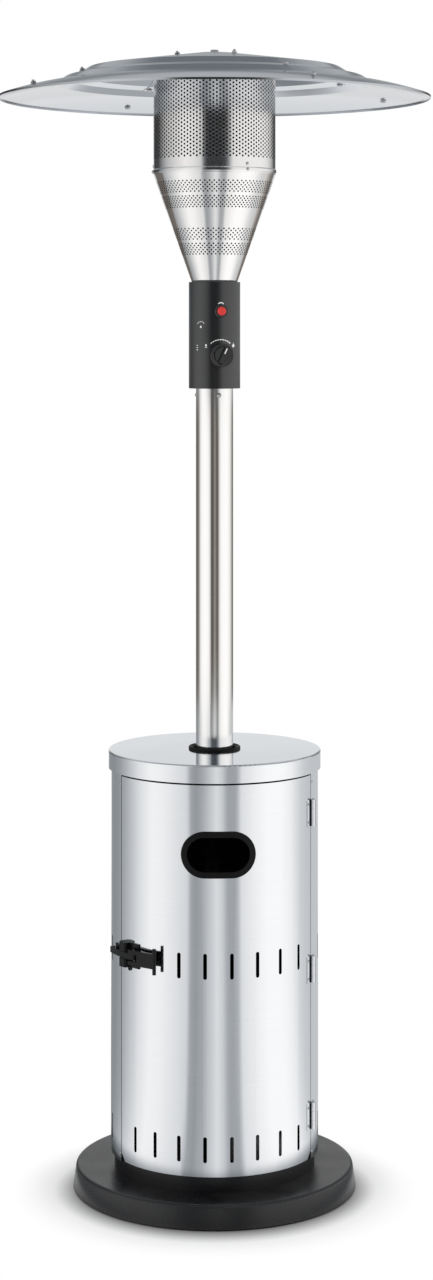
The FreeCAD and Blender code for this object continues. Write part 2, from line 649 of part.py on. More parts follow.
def latch_base():
    """The latch's plate, with a hood at each side of the claw's way, ears for the lever's
    pin and an eye below."""
    made = body("latch_base", "-latch_turn")
    wall_plate(made, "latch_plate_bent", "latch_length", "latch_plate", "latch_height",
               "latch_mid")
    foot = "-(wall_radius + sink_in)"

    def hood(drawn):
        outline(drawn, [
            ("-latch_length / 2", foot), ("hood_right", foot),
            ("hood_right", "-hood_out + hood_break"), ("hood_right - hood_break", "-hood_out"),
            ("-latch_length / 2 + hood_chamfer", "-hood_out"),
            ("-latch_length / 2", "-hood_out + hood_chamfer")][::-1])
    pair(made, "hood", "hood_slot / 2", "latch_height / 2", hood)

    def ear(drawn):
        left, right = "pivot_across - ear_radius", "pivot_across + ear_radius"
        outline(drawn, [
            (left, "-(wall_radius + latch_plate / 2)"), (left, "-pivot_far", "<ear_radius"),
            (right, "-pivot_far"), (right, "-(wall_radius + latch_plate / 2)")])
    pair(made, "ear", "ear_low", "ear_low + ear_gauge", ear)
    pin_bore(made, "latch_pin_bore", "pivot_across", "-pivot_far")
    drawn = sketch(made, "XZ_Plane", "eye_outline", lift="wall_radius + sink_in")
    low = "latch_mid - latch_height / 2 - eye_drop"
    circle(drawn, "-eye_across", low, "eye_radius")
    circle(drawn, "-eye_across", low, "eye_hole")
    pad(made, drawn, "padlock_eye", "latch_plate - sink_in * 2")


def latch_lever():
    """The pulling lever: a channel open to the door, notched for the claw, with a cross grip."""
    made = body("latch_lever", "-latch_turn")
    near, near_out = "pivot_across + lever_near", "pivot_far + lever_near_out"
    tip, tip_out = "pivot_across + lever_reach", "pivot_far - lever_tip_in"
    drawn = sketch(made, "XY_Plane", "lever_outline", lift="latch_mid")
    outline(drawn, [
        (near, f"-({near_out} - lever_gauge)"), (near, f"-({near_out})"),
        (tip, f"-({tip_out})"), (tip, f"-({tip_out} - lever_gauge)")][::-1])
    pad(made, drawn, "lever_face", "cheek_high * 2", both=True)

    def cheek(drawn):
        left, right = "pivot_across - cheek_radius", "pivot_across + cheek_radius"
        outline(drawn, [
            (right, "-pivot_far", "<cheek_radius"), (left, "-pivot_far"),
            (f"{left} + cheek_slope", "-(pivot_far + cheek_radius)"), (near, f"-({near_out})"),
            (tip, f"-({tip_out})"), (tip, f"-({tip_out} - lever_gauge - sink_in)")])
    pair(made, "cheek", "cheek_low", "cheek_high", cheek)
    drawn = sketch(made, "XY_Plane", "grip_outline", lift="latch_mid")
    circle(drawn, f"{tip} + edge_break", f"-({tip_out} - lever_gauge / 2)", "grip_round")
    pad(made, drawn, "cross_grip", "grip_height", both=True)
    drawn = sketch(made, "XY_Plane", "notch_outline", lift="latch_mid")
    box(drawn, "pivot_across - notch_back", "pivot_across + notch_reach",
        f"-({near_out} + notch_over)", "-(pivot_far - notch_back)")
    pocket(made, drawn, "claw_notch", "hood_slot", both=True)
    pin_bore(made, "lever_bore", "pivot_across", "-pivot_far")
    pin_bore(made, "claw_pin_bore", "claw_pin_x", "claw_pin_y")


def polar(radius, turn):
    return f"({radius}) * sin({turn})", f"-({radius}) * cos({turn})"


def latch_claw():
    """A strip that lies over the seam and turns down behind the keeper."""
    made = body("latch_claw", "-latch_turn")
    back = "asin(claw_pin_x / claw_inner) / 1 deg"
    far, near = "-hook_from_latch", "-(hook_from_latch - hook_turn_width)"
    drawn = sketch(made, "XY_Plane", "claw_outline", lift="latch_mid")
    outline(drawn, [
        polar("claw_inner", back) + (">claw_inner",),
        polar("claw_inner", near),
        polar("claw_inner - hook_reach", near),
        polar("claw_inner - hook_reach", far),
        polar("claw_outer", far) + ("<claw_outer",),
        polar("claw_outer", back)])
    pad(made, drawn, "claw_strip", "claw_height", both=True)
    drawn = sketch(made, "XY_Plane", "claw_eye_outline", lift="latch_mid")
    circle(drawn, "claw_pin_x", "claw_pin_y", "claw_eye")
    pad(made, drawn, "claw_eye_round", "claw_height", both=True)
    pin_bore(made, "claw_bore", "claw_pin_x", "claw_pin_y")


def latch_pin(name, across, down):
    made = body(name, "-latch_turn")
    drawn = sketch(made, "XY_Plane", name + "_outline", lift="latch_mid")
    circle(drawn, across, down, "latch_pin_radius")
    pad(made, drawn, name + "_rod", "(cheek_high + pin_proud) * 2", both=True)


def latch_keeper():
    """The keeper on the fixed wall; its ramp follows the way that the door's edge swings."""
    made = body("latch_keeper", "-keeper_turn")
    wall_plate(made, "keeper_plate_bent", "keeper_length", "keeper_plate", "keeper_height",
               "latch_mid")
    drawn = sketch(made, "XY_Plane", "ramp_outline", lift="latch_mid")
    foot, crest = "-(wall_radius + sink_in)", "-(wall_radius + keeper_rise)"
    outline(drawn, [
        ("ramp_left", foot), ("ramp_right", foot), ("ramp_right", crest),
        ("ramp_crest", crest), ("ramp_left", "-(wall_radius + keeper_plate)")][::-1])
    pad(made, drawn, "keeper_ramp", "claw_height + keeper_lap * 2", both=True)


def support_leg(name, turn):
    made = body(name, turn)
    drawn = sketch(made, "YZ_Plane", name + "_section")
    back, top = "leg_out - leg_gauge", "socket_low"
    corners = [
        ("leg_out - leg_foot", "deck_top"),
        ("leg_out - foot_bend", "deck_top", "<foot_bend"),
        ("leg_out", "deck_top + foot_bend"),
        ("leg_out", f"{top} - leg_bend", "<leg_bend"),
        ("leg_out - leg_bend", top),
        ("leg_in", top),
        ("leg_in", f"{top} - leg_gauge"),
        ("leg_out - leg_bend", f"{top} - leg_gauge", ">leg_bend - leg_gauge"),
        (back, f"{top} - leg_bend"),
        (back, "deck_top + foot_bend", ">foot_bend - leg_gauge"),
        ("leg_out - foot_bend", "deck_top + leg_gauge"),
        ("leg_out - leg_foot", "deck_top + leg_gauge")]
    outline(drawn, corners)
    pad(made, drawn, name + "_bar", "leg_width", both=True)
    for part, out, level in (("foot", "leg_out - foot_bolt_in", "deck_top + leg_gauge"),
                             ("top", "socket_bolt_out", "socket_low")):
        drawn = sketch(made, "XY_Plane", f"{name}_{part}_hole", lift=f"{level} + cut_past")
        circle(drawn, "0", out, "bolt_radius + bolt_play")
        pocket(made, drawn, f"{name}_{part}_cut", "leg_gauge + cut_past * 2", outward=False)


def bolts(name, out, bottom, top):
    """Three bolts with heads on top and nuts below, one at each leg."""
    made = body(name, "180")
    parts = (("shank", "bolt_radius", f"{bottom} - bolt_head_height - bolt_end",
              f"{top} - ({bottom}) + bolt_head_height + bolt_end"),
             ("head", "bolt_head", top, "bolt_head_height"),
             ("nut", "bolt_head", f"{bottom} - bolt_head_height", "bolt_head_height"))
    made_parts = []
    for part, radius, start, length in parts:
        drawn = sketch(made, "XY_Plane", f"{name}_{part}_outline", lift=start)
        circle(drawn, "0", f"-({out})", radius)
        made_parts.append(pad(made, drawn, f"{name}_{part}", length))
    ring = ring_pattern(made, made_parts[0], name + "_ring", "leg_count", "360 / leg_count")
    ring.Originals = made_parts


def pole_socket():
    made = turned("pole_socket", [
        ("spigot_bore", "socket_low"),
        ("socket_radius", "socket_low"),
        ("socket_radius", "socket_top"),
        ("spigot_radius", "socket_top"),
        ("spigot_radius", "socket_top + socket_rise"),
        ("spigot_bore", "socket_top + socket_rise")])
    bolt_holes(made, "socket_hole", "socket_bolt_out", "socket_top", "socket_plate")


def pole():
    made = turned("pole", [
        ("pole_bore", "socket_top"), ("pole_radius", "socket_top"),
        ("pole_radius", "pole_top"), ("pole_bore", "pole_top")])
    drawn = sketch(made, "XZ_Plane", "pole_screw_hole", turn="head_turn")
    circle(drawn, "0", "pole_top - pole_screw_drop", "pole_screw_radius + bolt_play")
    hole = pocket(made, drawn, "pole_screw_cut", "pole_radius + cut_past")
    ring_pattern(made, hole, "pole_screw_holes", "pole_screw_count",
                 "360 / pole_screw_count")


def pole_screws():
    made = body("pole_screws", "head_turn", "pole_top - pole_screw_drop")
    drawn = sketch(made, "YZ_Plane", "pole_screw_section")
    tip, seat = "-(spigot_bore - pole_screw_end)", "-pole_radius"
    outline(drawn, [
        (tip, "0"), (tip, "pole_screw_radius"), (seat, "pole_screw_radius"),
        (seat, "pole_screw_head"),
        (f"{seat} - pole_screw_rise", "(pole_screw_head + edge_break) / 2"),
        (f"{seat} - pole_screw_rise", "0")][::-1])
    screw = revolve(made, drawn, "pole_screw", axis="H_Axis")
    ring_pattern(made, screw, "pole_screw_ring", "pole_screw_count",
                 "360 / pole_screw_count")


def control_base_cap():
    made = turned("control_base_cap", [
        ("spigot_bore", "head_low - cap_spigot"),
        ("spigot_radius", "head_low - cap_spigot"),
        ("spigot_radius", "head_low"),
        ("head_radius", "head_low"),
        ("head_radius", "head_low + cap_gauge"),
        ("cap_seat", "head_low + cap_gauge"),
        ("cap_seat", "head_low + cap_gauge + cap_lip"),
        ("cap_seat - cap_gauge", "head_low + cap_gauge + cap_lip"),
        ("cap_seat - cap_gauge", "head_low + cap_gauge"),
        ("spigot_bore", "head_low + cap_gauge")])
    drawn = sketch(made, "XZ_Plane", "cap_screw_hole", turn="head_turn")
    circle(drawn, "0", "pole_top - pole_screw_drop", "pole_screw_radius")
    hole = pocket(made, drawn, "cap_screw_cut", "pole_radius + cut_past")
    ring_pattern(made, hole, "cap_screw_holes", "pole_screw_count",
                 "360 / pole_screw_count")


def control_housing():
    made = turned("control_housing", [
        ("head_bore", "head_low + cap_gauge"), ("head_radius", "head_low + cap_gauge"),
        ("head_radius", "head_top - cap_gauge"), ("head_bore", "head_top - cap_gauge")],
        turn="head_turn")
    for name, height, radius in (("spindle", "knob_mid", "spindle_radius + push_play"),
                                 ("igniter", "button_mid", "bezel_neck + frame_play")):
        drawn = sketch(made, "XZ_Plane", name + "_hole")
        circle(drawn, "0", height, radius)
        pocket(made, drawn, name + "_cut", "head_radius + cut_past")


def control_top_cap():
    turned("control_top_cap", [
        ("mixer_play", "head_top - cap_gauge"),
        ("cap_seat - cap_gauge", "head_top - cap_gauge"),
        ("cap_seat - cap_gauge", "head_top - cap_gauge - cap_lip"),
        ("cap_seat", "head_top - cap_gauge - cap_lip"),
        ("cap_seat", "head_top - cap_gauge"),
        ("head_radius", "head_top - cap_gauge"),
        ("head_radius", "head_top"),
        ("mixer_play", "head_top")])


def knob_bezel():
    """The round boss behind the knob, its back hollowed to sit on the round housing."""
    made = facing("knob_bezel", "knob_mid", [
        ("head_bore", "spindle_radius + push_play"), ("head_bore", "boss_radius"),
        ("boss_front - edge_break", "boss_radius"), ("boss_front", "boss_radius - edge_break"),
        ("boss_front", "spindle_radius + push_play")][::-1])
    drawn = sketch(made, "XY_Plane", "boss_seat_outline", lift="-boss_radius - cut_past")
    circle(drawn, "0", "0", "head_radius + seat_play")
    pocket(made, drawn, "boss_seat", "(boss_radius + cut_past) * 2")


def control_knob():
    """A cup that slides over the boss, with a stepped round top and a grip bar across it,
    which points as far from upright as the knob is turned at rest."""
    step, floor = "knob_back + knob_skirt", "knob_front - grip_step"
    made = facing("control_knob", "knob_mid", [
        ("knob_back", "knob_radius - knob_wall"),
        ("knob_back", "knob_radius"),
        (f"{step} - edge_break", "knob_radius"),
        (step, "knob_radius - edge_break"),
        (step, "grip_radius + edge_break"),
        (f"{step} + edge_break", "grip_radius"),
        (floor, "grip_radius - grip_taper"),
        (floor, "spindle_radius + spindle_land"),
        (floor, "0"),
        (f"{floor} - knob_top", "0"),
        (f"{floor} - knob_top", "spindle_radius + pin_play"),
        (f"{step} - knob_wall", "spindle_radius + pin_play"),
        (f"{step} - knob_wall", "knob_radius - knob_wall")][::-1])

    def leaning(across, up):
        return (f"({across}) * cos(pointer_turn) + ({up}) * sin(pointer_turn)",
                f"({up}) * cos(pointer_turn) - ({across}) * sin(pointer_turn)")

    drawn = sketch(made, "XZ_Plane", "grip_bar_outline", lift=f"{floor} - sink_in")
    half, reach = "grip_bar / 2", "grip_radius - grip_inset"
    outline(drawn, [leaning(f"-{half}", f"-({reach})"), leaning(half, f"-({reach})"),
                    leaning(half, reach), leaning(f"-{half}", reach)])
    pad(made, drawn, "grip_bar", "grip_step + sink_in")


def valve_spindle():
    tip = "knob_front - grip_step - knob_top"
    facing("valve_spindle", "knob_mid", [
        ("spindle_end", "0"), ("spindle_end", "spindle_radius"), (tip, "spindle_radius"),
        (tip, "0")][::-1])


def valve_plunger():
    facing("valve_plunger", "knob_mid", [
        ("spindle_end - plunger_length", "0"),
        ("spindle_end - plunger_length", "plunger_radius"),
        ("spindle_end", "plunger_radius"), ("spindle_end", "0")][::-1])


def gas_valve():
    """The valve block, bored from the front for the spindle and the plunger behind it."""
    made = body("gas_valve", "head_turn")
    drawn = sketch(made, "XY_Plane", "valve_outline", lift="valve_low")
    box(drawn, "-valve_width / 2", "valve_width / 2", "-valve_front", "valve_back")
    pad(made, drawn, "valve_block", "valve_height")
    seat = "spindle_end - knob_push - push_play * 2"
    for name, start, end, radius in (
            ("spindle_bore", seat, "valve_front + cut_past", "spindle_radius + pin_play"),
            ("plunger_bore", f"{seat} - plunger_length", "spindle_end",
             "plunger_radius + pin_play")):
        drawn = sketch(made, "XZ_Plane", name + "_outline", lift=start, rise="knob_mid")
        circle(drawn, "0", "0", radius)
        pocket(made, drawn, name, f"{end} - ({start})")


def gas_inlet():
    low, waist = "valve_low - inlet_length", "valve_low - inlet_length / 2"
    turned("gas_inlet", [
        ("0", low), ("inlet_radius - inlet_neck", low), ("inlet_radius - inlet_neck", waist),
        ("inlet_radius + inlet_hex", waist), ("inlet_radius + inlet_hex", "valve_low"),
        ("0", "valve_low")])


def gas_jet():
    waist, high = "valve_top + jet_length / 2", "valve_top + jet_length"
    turned("gas_jet", [
        ("0", "valve_top"), ("jet_radius + jet_hex", "valve_top"),
        ("jet_radius + jet_hex", waist), ("jet_radius", waist),
        ("jet_radius", f"{high} - jet_tip"), ("jet_radius / 2", high), ("0", high)])


def mixer_tube():
    """The tube that draws air in round the jet and leads the mixture up to the burner."""
    low, bore = "valve_top + jet_length / 2", "mixer_radius - mixer_gauge"
    made = turned("mixer_tube", [
        ("jet_radius + seat_play", low), ("mixer_radius", low),
        ("mixer_radius", "tray_top + burner_neck"), (bore, "tray_top + burner_neck"),
        (bore, f"{low} + mixer_gauge"), ("jet_radius + seat_play", f"{low} + mixer_gauge")])
    drawn = sketch(made, "XZ_Plane", "air_hole", turn="45")
    obround(drawn, "0", f"{low} + air_hole_rise", "air_hole_length", "air_hole_width",
            upright=True)
    hole = pocket(made, drawn, "air_cut", "mixer_radius + cut_past")
    ring_pattern(made, hole, "air_hole_ring", "air_holes", "360 / air_holes")


def igniter_bezel():
    flange = "bezel_front - bezel_flange"
    facing("igniter_bezel", "button_mid", [
        ("bezel_back", "button_radius + pin_play"), ("bezel_back", "bezel_neck"),
        (flange, "bezel_neck"), (flange, "bezel_radius"),
        ("bezel_front - edge_break", "bezel_radius"),
        ("bezel_front", "bezel_radius - edge_break"),
        ("bezel_front", "button_radius + pin_play")][::-1])


def igniter_button():
    back = "bezel_back + button_push + push_play"
    facing("igniter_button", "button_mid", [
        ("stem_end", "0"), ("stem_end", "button_stem"), (back, "button_stem"),
        (back, "button_radius"), ("button_front - button_round", "button_radius"),
        ("button_front", "button_radius - button_round"), ("button_front", "0")][::-1])


def igniter_body():
    """The piezo unit behind the bezel, bored for the button's stem."""
    bottom = "stem_end - button_push - push_play"
    facing("igniter_body", "button_mid", [
        ("igniter_back", "0"), ("igniter_back", "igniter_radius"),
        ("bezel_back", "igniter_radius"), ("bezel_back", "button_stem + pin_play"),
        (bottom, "button_stem + pin_play"), (bottom, "0")][::-1])


def tilt_switch():
    made = body("tilt_switch", "head_turn")
    drawn = sketch(made, "XY_Plane", "tilt_outline", lift="tilt_low")
    reach = "sqrt(head_bore^2 - (tilt_width / 2)^2) - seat_play"
    box(drawn, "-tilt_width / 2", "tilt_width / 2", f"{reach} - tilt_depth", reach)
    pad(made, drawn, "tilt_case", "tilt_height")


def cone_shroud():
    under = "emitter_low - cone_gauge"
    turned("cone_shroud", [
        ("cone_bore", "head_top"), ("cone_low_radius", "head_top"),
        ("emitter_radius", under), ("emitter_radius", "emitter_low"),
        ("emitter_radius - cone_flange", "emitter_low"),
        ("emitter_radius - cone_flange", under),
        ("emitter_radius - cone_gauge * cone_slant", under),
        ("cone_low_radius - cone_gauge", "head_top + cone_gauge"),
        ("cone_bore", "head_top + cone_gauge")])


def burner_tray():
    made = turned("burner_tray", [
        ("mixer_play", "emitter_low"), ("tray_rim", "emitter_low"),
        ("tray_rim", "emitter_low + tray_upstand"),
        ("tray_rim - tray_gauge", "emitter_low + tray_upstand"),
        ("tray_rim - tray_gauge", "tray_top"), ("mixer_play", "tray_top")])
    for name, side in (("probe", "1"), ("spark", "-1")):
        drawn = sketch(made, "XY_Plane", name + "_hole", lift="emitter_low - cut_past")
        circle(drawn, f"{side} * probe_out", "0", "probe_radius + seat_play")
        pocket(made, drawn, name + "_cut", "tray_gauge + cut_past * 2")


def burner_head():
    """A drum on the tray with a ring of flame ports, fed by the mixer tube."""
    waist, shoulder = "tray_top + burner_slope", "burner_top - burner_edge"
    made = turned("burner_head", [
        ("mixer_play", "tray_top"), ("burner_radius - burner_slope", "tray_top"),
        ("burner_radius", waist), ("burner_radius", shoulder),
        ("burner_radius - burner_edge", "burner_top"), ("0", "burner_top"),
        ("0", "burner_top - burner_wall"),
        ("burner_radius - burner_edge - edge_break", "burner_top - burner_wall"),
        ("burner_radius - burner_wall", f"{shoulder} - edge_break"),
        ("burner_radius - burner_wall", f"{waist} + edge_break"),
        ("burner_radius - burner_slope - edge_break", "tray_top + burner_wall"),
        ("mixer_play", "tray_top + burner_wall")])
    drawn = sketch(made, "XZ_Plane", "flame_port", turn="180 / port_count")
    obround(drawn, "0", "tray_top + burner_height / 2 + port_rise", "port_length",
            "port_width", upright=True)
    port = pocket(made, drawn, "flame_port_cut", "burner_radius + cut_past")
    ring_pattern(made, port, "flame_ports", "port_count", "360 / port_count")


def probe(name, side, tip_radius):
    """A rod that stands in the tray beside the burner, held by its flange."""
    low, high = "emitter_low - probe_drop", "tray_top + probe_rise"
    waist = "tray_top + probe_rise / 2"
    made = body(name)
    made.setExpression("Placement.Base.x", bound(f"{side} * probe_out"))
    drawn = sketch(made, "XZ_Plane", name + "_section")
    outline(drawn, [
        ("0", low), ("probe_radius", low), ("probe_radius", "tray_top"),
        ("probe_flange", "tray_top"), ("probe_flange", "tray_top + probe_seat"),
        ("probe_radius", "tray_top + probe_seat"), ("probe_radius", waist),
        (tip_radius, f"{waist} + edge_break"), (tip_radius, high), ("0", high)])
    revolve(made, drawn, name + "_turned")


def bead_ring():
    inner, proud = "emitter_radius + seat_play / 2", "emitter_radius + bead_proud"
    high = "emitter_low + bead_height"
    turned("bead_ring", [
        (inner, "emitter_low"), (f"{inner} + bead_foot", "emitter_low"),
        (proud, "emitter_low + bead_chamfer"), (proud, f"{high} - bead_chamfer"),
        (f"{inner} + bead_foot", high), (inner, high)])


def emitter_screen():
    turned("emitter_screen", [
        ("emitter_bore", "emitter_low"), ("emitter_radius", "emitter_low"),
        ("emitter_radius", "emitter_high"), ("emitter_bore", "emitter_high")])


def emitter_top():
    turned("emitter_top", [
        ("0", "top_low"), ("stud_circle + top_flat", "top_low"),
        ("emitter_radius - top_slope", "emitter_high"),
        ("tray_rim - top_gauge", "emitter_high"),
        ("tray_rim - top_gauge", "emitter_high - top_lip"),
        ("tray_rim", "emitter_high - top_lip"),
        ("tray_rim", "emitter_high"), ("emitter_radius", "emitter_high"),
        ("emitter_radius", "emitter_high + top_gauge"),
        ("emitter_radius - top_slope", "emitter_high + top_gauge"),
        ("stud_circle + top_flat", "top_low + top_gauge"),
        ("0", "top_low + top_gauge")])


def reflector_studs():
    made = body("reflector_studs")
    low = "top_low + top_gauge"
    drawn = sketch(made, "XY_Plane", "stud_outline", lift=low)
    circle(drawn, "0", "stud_circle", "stud_radius")
    stud = pad(made, drawn, "stud", f"hub_low - ({low})")
    ring_pattern(made, stud, "stud_ring", "stud_count", "360 / stud_count")


def reflector_hub():
    turned("reflector_hub", [
        ("crown_bore", "hub_low"), ("hub_radius", "hub_low"),
        ("hub_radius", "panel_low"), ("crown_bore", "panel_low")])


def panel_line(drop):
    """The dish's line from the outer edge to the crown, lowered by a drop."""
    base = f"rim_z - {drop}"
    return [("outer_ring", f"{base} + outer_rise"), ("step_one", f"{base} + step_one_rise"),
            ("mid_ring", f"{base} + mid_rise"), ("step_two", f"{base} + step_two_rise"),
            ("crown_radius", f"{base} + crown_rise"), ("crown_bore", f"{base} + crown_rise")]


def reflector_panel(name, place):
    """A quarter of the dish with a turned-down rim and, under its far seam, the tongue that
    the next panel laps over."""
    made = body(name, f"first_seam + panel_turn * {place} + panel_turn / 2")
    outer, inner = panel_line("0"), panel_line("panel_gauge")
    rim = [("rim_radius", "rim_z", "<outer_bow")]
    lip = [("rim_radius - panel_gauge", "rim_low"), ("rim_radius", "rim_low")]
    back = inner[::-1]
    back[-1] += (">outer_bow",)
    corners = rim + outer + back + [("rim_radius - panel_gauge", "rim_z - panel_gauge")] + lip
    drawn = sketch(made, "XZ_Plane", name + "_section")
    outline(drawn, corners)
    revolve(made, drawn, name + "_dish", "panel_turn")
    drawn = sketch(made, "XZ_Plane", name + "_tongue_section", turn="panel_turn / 2")
    upper, lower = panel_line("panel_gauge")[1:], panel_line("panel_gauge * 2")[1:]
    outline(drawn, upper + lower[::-1])
    revolve(made, drawn, name + "_tongue", "tongue_turn")


def crown_nut():
    """The bolt that draws the panels down on the hub, with a nut below and a cap above."""
    seat, flat = "crown_z + washer_gauge", "nut_radius - nut_slope"
    turned("crown_nut", [
        ("0", "hub_low - nut_height"), (flat, "hub_low - nut_height"), (flat, "hub_low"),
        ("crown_bore - bolt_play", "hub_low"), ("crown_bore - bolt_play", "crown_z"),
        ("washer_radius", "crown_z"), ("washer_radius", seat), ("nut_radius", seat),
        (flat, f"{seat} + nut_height"), ("0", f"{seat} + nut_height")])


def build():
    base_cover()
    base_feet()
    housing_plinth()
    for name, turn in (("support_leg_rear", "0"), ("support_leg_left", "180 - leg_turn"),
                       ("support_leg_right", "180 + leg_turn")):
        support_leg(name, turn)
    pole_socket()
    bolts("foot_bolts", "leg_out - foot_bolt_in", "deck_top - deck_gauge", "deck_top + leg_gauge")
    bolts("socket_bolts", "socket_bolt_out", "socket_low - leg_gauge", "socket_top")
    housing_back_shell()
    housing_lid()
    lid_ring()
    door_panel()
    window_frame()
    hinges()
    hinge_pins()
    latch_base()
    latch_lever()
    latch_claw()
    latch_pin("latch_pin", "pivot_across", "-pivot_far")
    latch_pin("claw_pin", "claw_pin_x", "claw_pin_y")
    latch_keeper()
    pole()
    pole_screws()
    control_base_cap()
    control_housing()
    control_top_cap()
    knob_bezel()
    control_knob()
    valve_spindle()
    valve_plunger()
    gas_valve()
    gas_inlet()
    gas_jet()
    mixer_tube()
    igniter_bezel()
    igniter_button()
    igniter_body()
    tilt_switch()
    cone_shroud()
    burner_tray()
    burner_head()
    probe("thermocouple", "1", "probe_radius - sink_in")
    probe("spark_electrode", "-1", "probe_radius / 2")
    bead_ring()
    emitter_screen()
    emitter_top()
    reflector_studs()
    reflector_hub()
    for place, name in enumerate(("reflector_panel_right", "reflector_panel_rear",
                                  "reflector_panel_left", "reflector_panel_front")):
        reflector_panel(name, place)
    crown_nut()


def check():
    bad = [item.Name for item in doc.Objects if {"Invalid", "Error"} & set(item.State)]
    bad += [item.Label for item in pieces if item.Shape.isNull() or not item.Shape.isValid()]
    if bad:
        raise RuntimeError("failed: " + ", ".join(bad))


def write():
    os.makedirs("parts", exist_ok=True)
    for item in pieces:
        item.Shape.exportStep(f"parts/{item.Label}.step")


fill_sheet()
build()
doc.recompute()
check()
write()
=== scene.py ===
"""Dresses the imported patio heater: perforated screen and cone, fasteners, printed marks,
finishes for every piece, and a small studio round it. Metres, Z up, the door faces -Y."""
import bmesh
import bpy
import json
import math
from functools import partialmethod
from mathutils import Matrix, Vector


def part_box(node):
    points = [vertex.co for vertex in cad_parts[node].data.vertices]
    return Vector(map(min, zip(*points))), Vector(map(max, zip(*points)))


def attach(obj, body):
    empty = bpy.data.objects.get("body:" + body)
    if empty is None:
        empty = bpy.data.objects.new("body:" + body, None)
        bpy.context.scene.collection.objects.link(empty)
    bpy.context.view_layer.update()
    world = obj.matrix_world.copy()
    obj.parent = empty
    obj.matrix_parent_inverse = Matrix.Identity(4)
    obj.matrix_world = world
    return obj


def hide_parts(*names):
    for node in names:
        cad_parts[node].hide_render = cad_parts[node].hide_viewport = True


bl_info = {
    "name": "Patio Heater",
    "version": (1, 0, 0),
    "blender": (4, 5, 0),
    "location": "3D View > Sidebar > Heater",
    "description": "Builds the visible detail and the finishes of a patio heater",
    "category": "Object",
}

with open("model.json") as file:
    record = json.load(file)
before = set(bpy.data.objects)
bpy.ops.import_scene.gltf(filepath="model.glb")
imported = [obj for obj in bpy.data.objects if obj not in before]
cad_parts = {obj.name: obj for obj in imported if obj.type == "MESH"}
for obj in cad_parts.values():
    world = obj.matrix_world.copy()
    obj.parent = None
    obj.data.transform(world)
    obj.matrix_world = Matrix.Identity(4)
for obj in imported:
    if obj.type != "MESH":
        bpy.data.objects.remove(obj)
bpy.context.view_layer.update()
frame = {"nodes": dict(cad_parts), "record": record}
NODES = frame["nodes"]

# The source's sizes that no box gives, in metres, and turns in degrees from the front
WALL_RADIUS = 0.199
SEAM_FROM_FRONT = 64
# Half width of the shadow painted along each door seam, a turn in radians
SEAM_SHADE = 0.0055
LEAF_GAUGE = 0.0014
HEAD_TURN = 12.3
KNOB_HEIGHT = 1.5936
KNOB_FRONT = 0.0728
POINTER_TURN = 25
BUTTON_HEIGHT = 1.678
CONE_FOOT_RADIUS = 0.044
CONE_FLANGE = 0.009
MIXER_BORE = 0.018
DISH_PROFILE = ((0.415, 0.0), (0.305, 0.026), (0.287, 0.037), (0.262, 0.043),
                (0.243, 0.055), (0.040, 0.084), (0.0, 0.084))
DISH_LIP = 0.004
DISH_BOW = 0.0026
SEAM_TURN = 25.8

# Where the small detail goes: slope lengths up the cone, radii on the dish, heights and turns
CONE_BANDS = (0.0518, 0.0816, 0.1460, 0.1764)
SEAM_BOLTS = (0.080, 0.280, 0.380)
BOLT_GRIP = 0.0025
RIVET_TURN = 29.7
RIVET_OVER_BEAD = 0.006
RIVET_DOME = 0.0016
SEAM_RIVETS = (0.086, 0.786)
SEAM_RIVET_TURN = 1.8
SEAM_RIVET_DOME = 0.0012
HINGE_SCREW = (0.0026, 0.0014)
HINGE_SCREW_LIFT = 0.017
HINGE_SCREW_TURN = 3.6

# Printed marks: the arc of dashes over the knob, which widen to the right
SCALE_RADIUS = 0.0300
SCALE_DASHES = 9
SCALE_START, SCALE_STEP, SCALE_DASH = -42, 9.4, 7.6
SCALE_WIDTH, SCALE_GROWTH = 0.0010, 0.00018
SIDE_MARKS = -0.0400

# Pieces with a finish of their own
HEAD_PIECES = ("control_housing", "control_base_cap", "control_top_cap")
BURNER_PIECES = ("burner_head", "burner_tray", "thermocouple", "spark_electrode")

# Fixed dust tone, painted floor shadow, and which way the grain of drawn and rolled metal runs
DUST = (0.42, 0.40, 0.37)
SHADOW = (0.02, 0.02, 0.022)
ALONG, AROUND, ROLLED = (900.0, 900.0, 14.0), (14.0, 14.0, 900.0), (40.0, 700.0, 40.0)

# Brightness round the heater by turn from the front, in degrees: on the floor, on the wall
# beside the pole, the head and the emitter, and over the dish
FLOOR_GLOW = ((-180, 1.0), (-168, 1.0), (-163, 0.30), (-139, 0.29), (-123, 0.37), (-110, 0.51),
              (-99, 0.67), (-88, 0.83), (-74, 0.98), (-60, 0.95), (-41, 0.80), (-32, 0.74),
              (-28, 0.40), (-22, 0.34), (-13, 0.48), (0, 0.80), (6, 0.66), (11, 0.40),
              (21, 0.40), (26, 0.80), (40, 0.94), (55, 1.05), (75, 1.05), (88, 0.95),
              (98, 0.78), (108, 0.66), (121, 0.60), (163, 0.57), (168, 1.0), (180, 1.0))
POLE_GLOW = ((-180, 0.9), (-168, 0.9), (-162, 0.12), (-120, 0.15), (-106, 0.50), (-96, 0.92),
             (-75, 1.05), (-50, 1.06), (-36, 0.95), (-29, 0.68), (-22, 0.10), (-10, 0.08),
             (-4, 0.25), (4, 0.25), (8, 0.10), (17, 0.12), (22, 0.28), (30, 0.80), (40, 0.97),
             (55, 1.06), (80, 1.06), (98, 0.96), (112, 0.80), (128, 0.38), (140, 0.16),
             (162, 0.15), (168, 0.9), (180, 0.9))
HEAD_GLOW = ((-180, 0.80), (-165, 0.80), (-150, 0.30), (-124, 0.40), (-100, 0.78),
             (-80, 1.05), (-64, 1.00), (-49, 0.70), (-34, 0.28), (-20, 0.12), (6, 0.08),
             (16, 0.32), (26, 0.62), (40, 0.88), (80, 1.05), (120, 0.90), (150, 0.50),
             (165, 0.80), (180, 0.80))
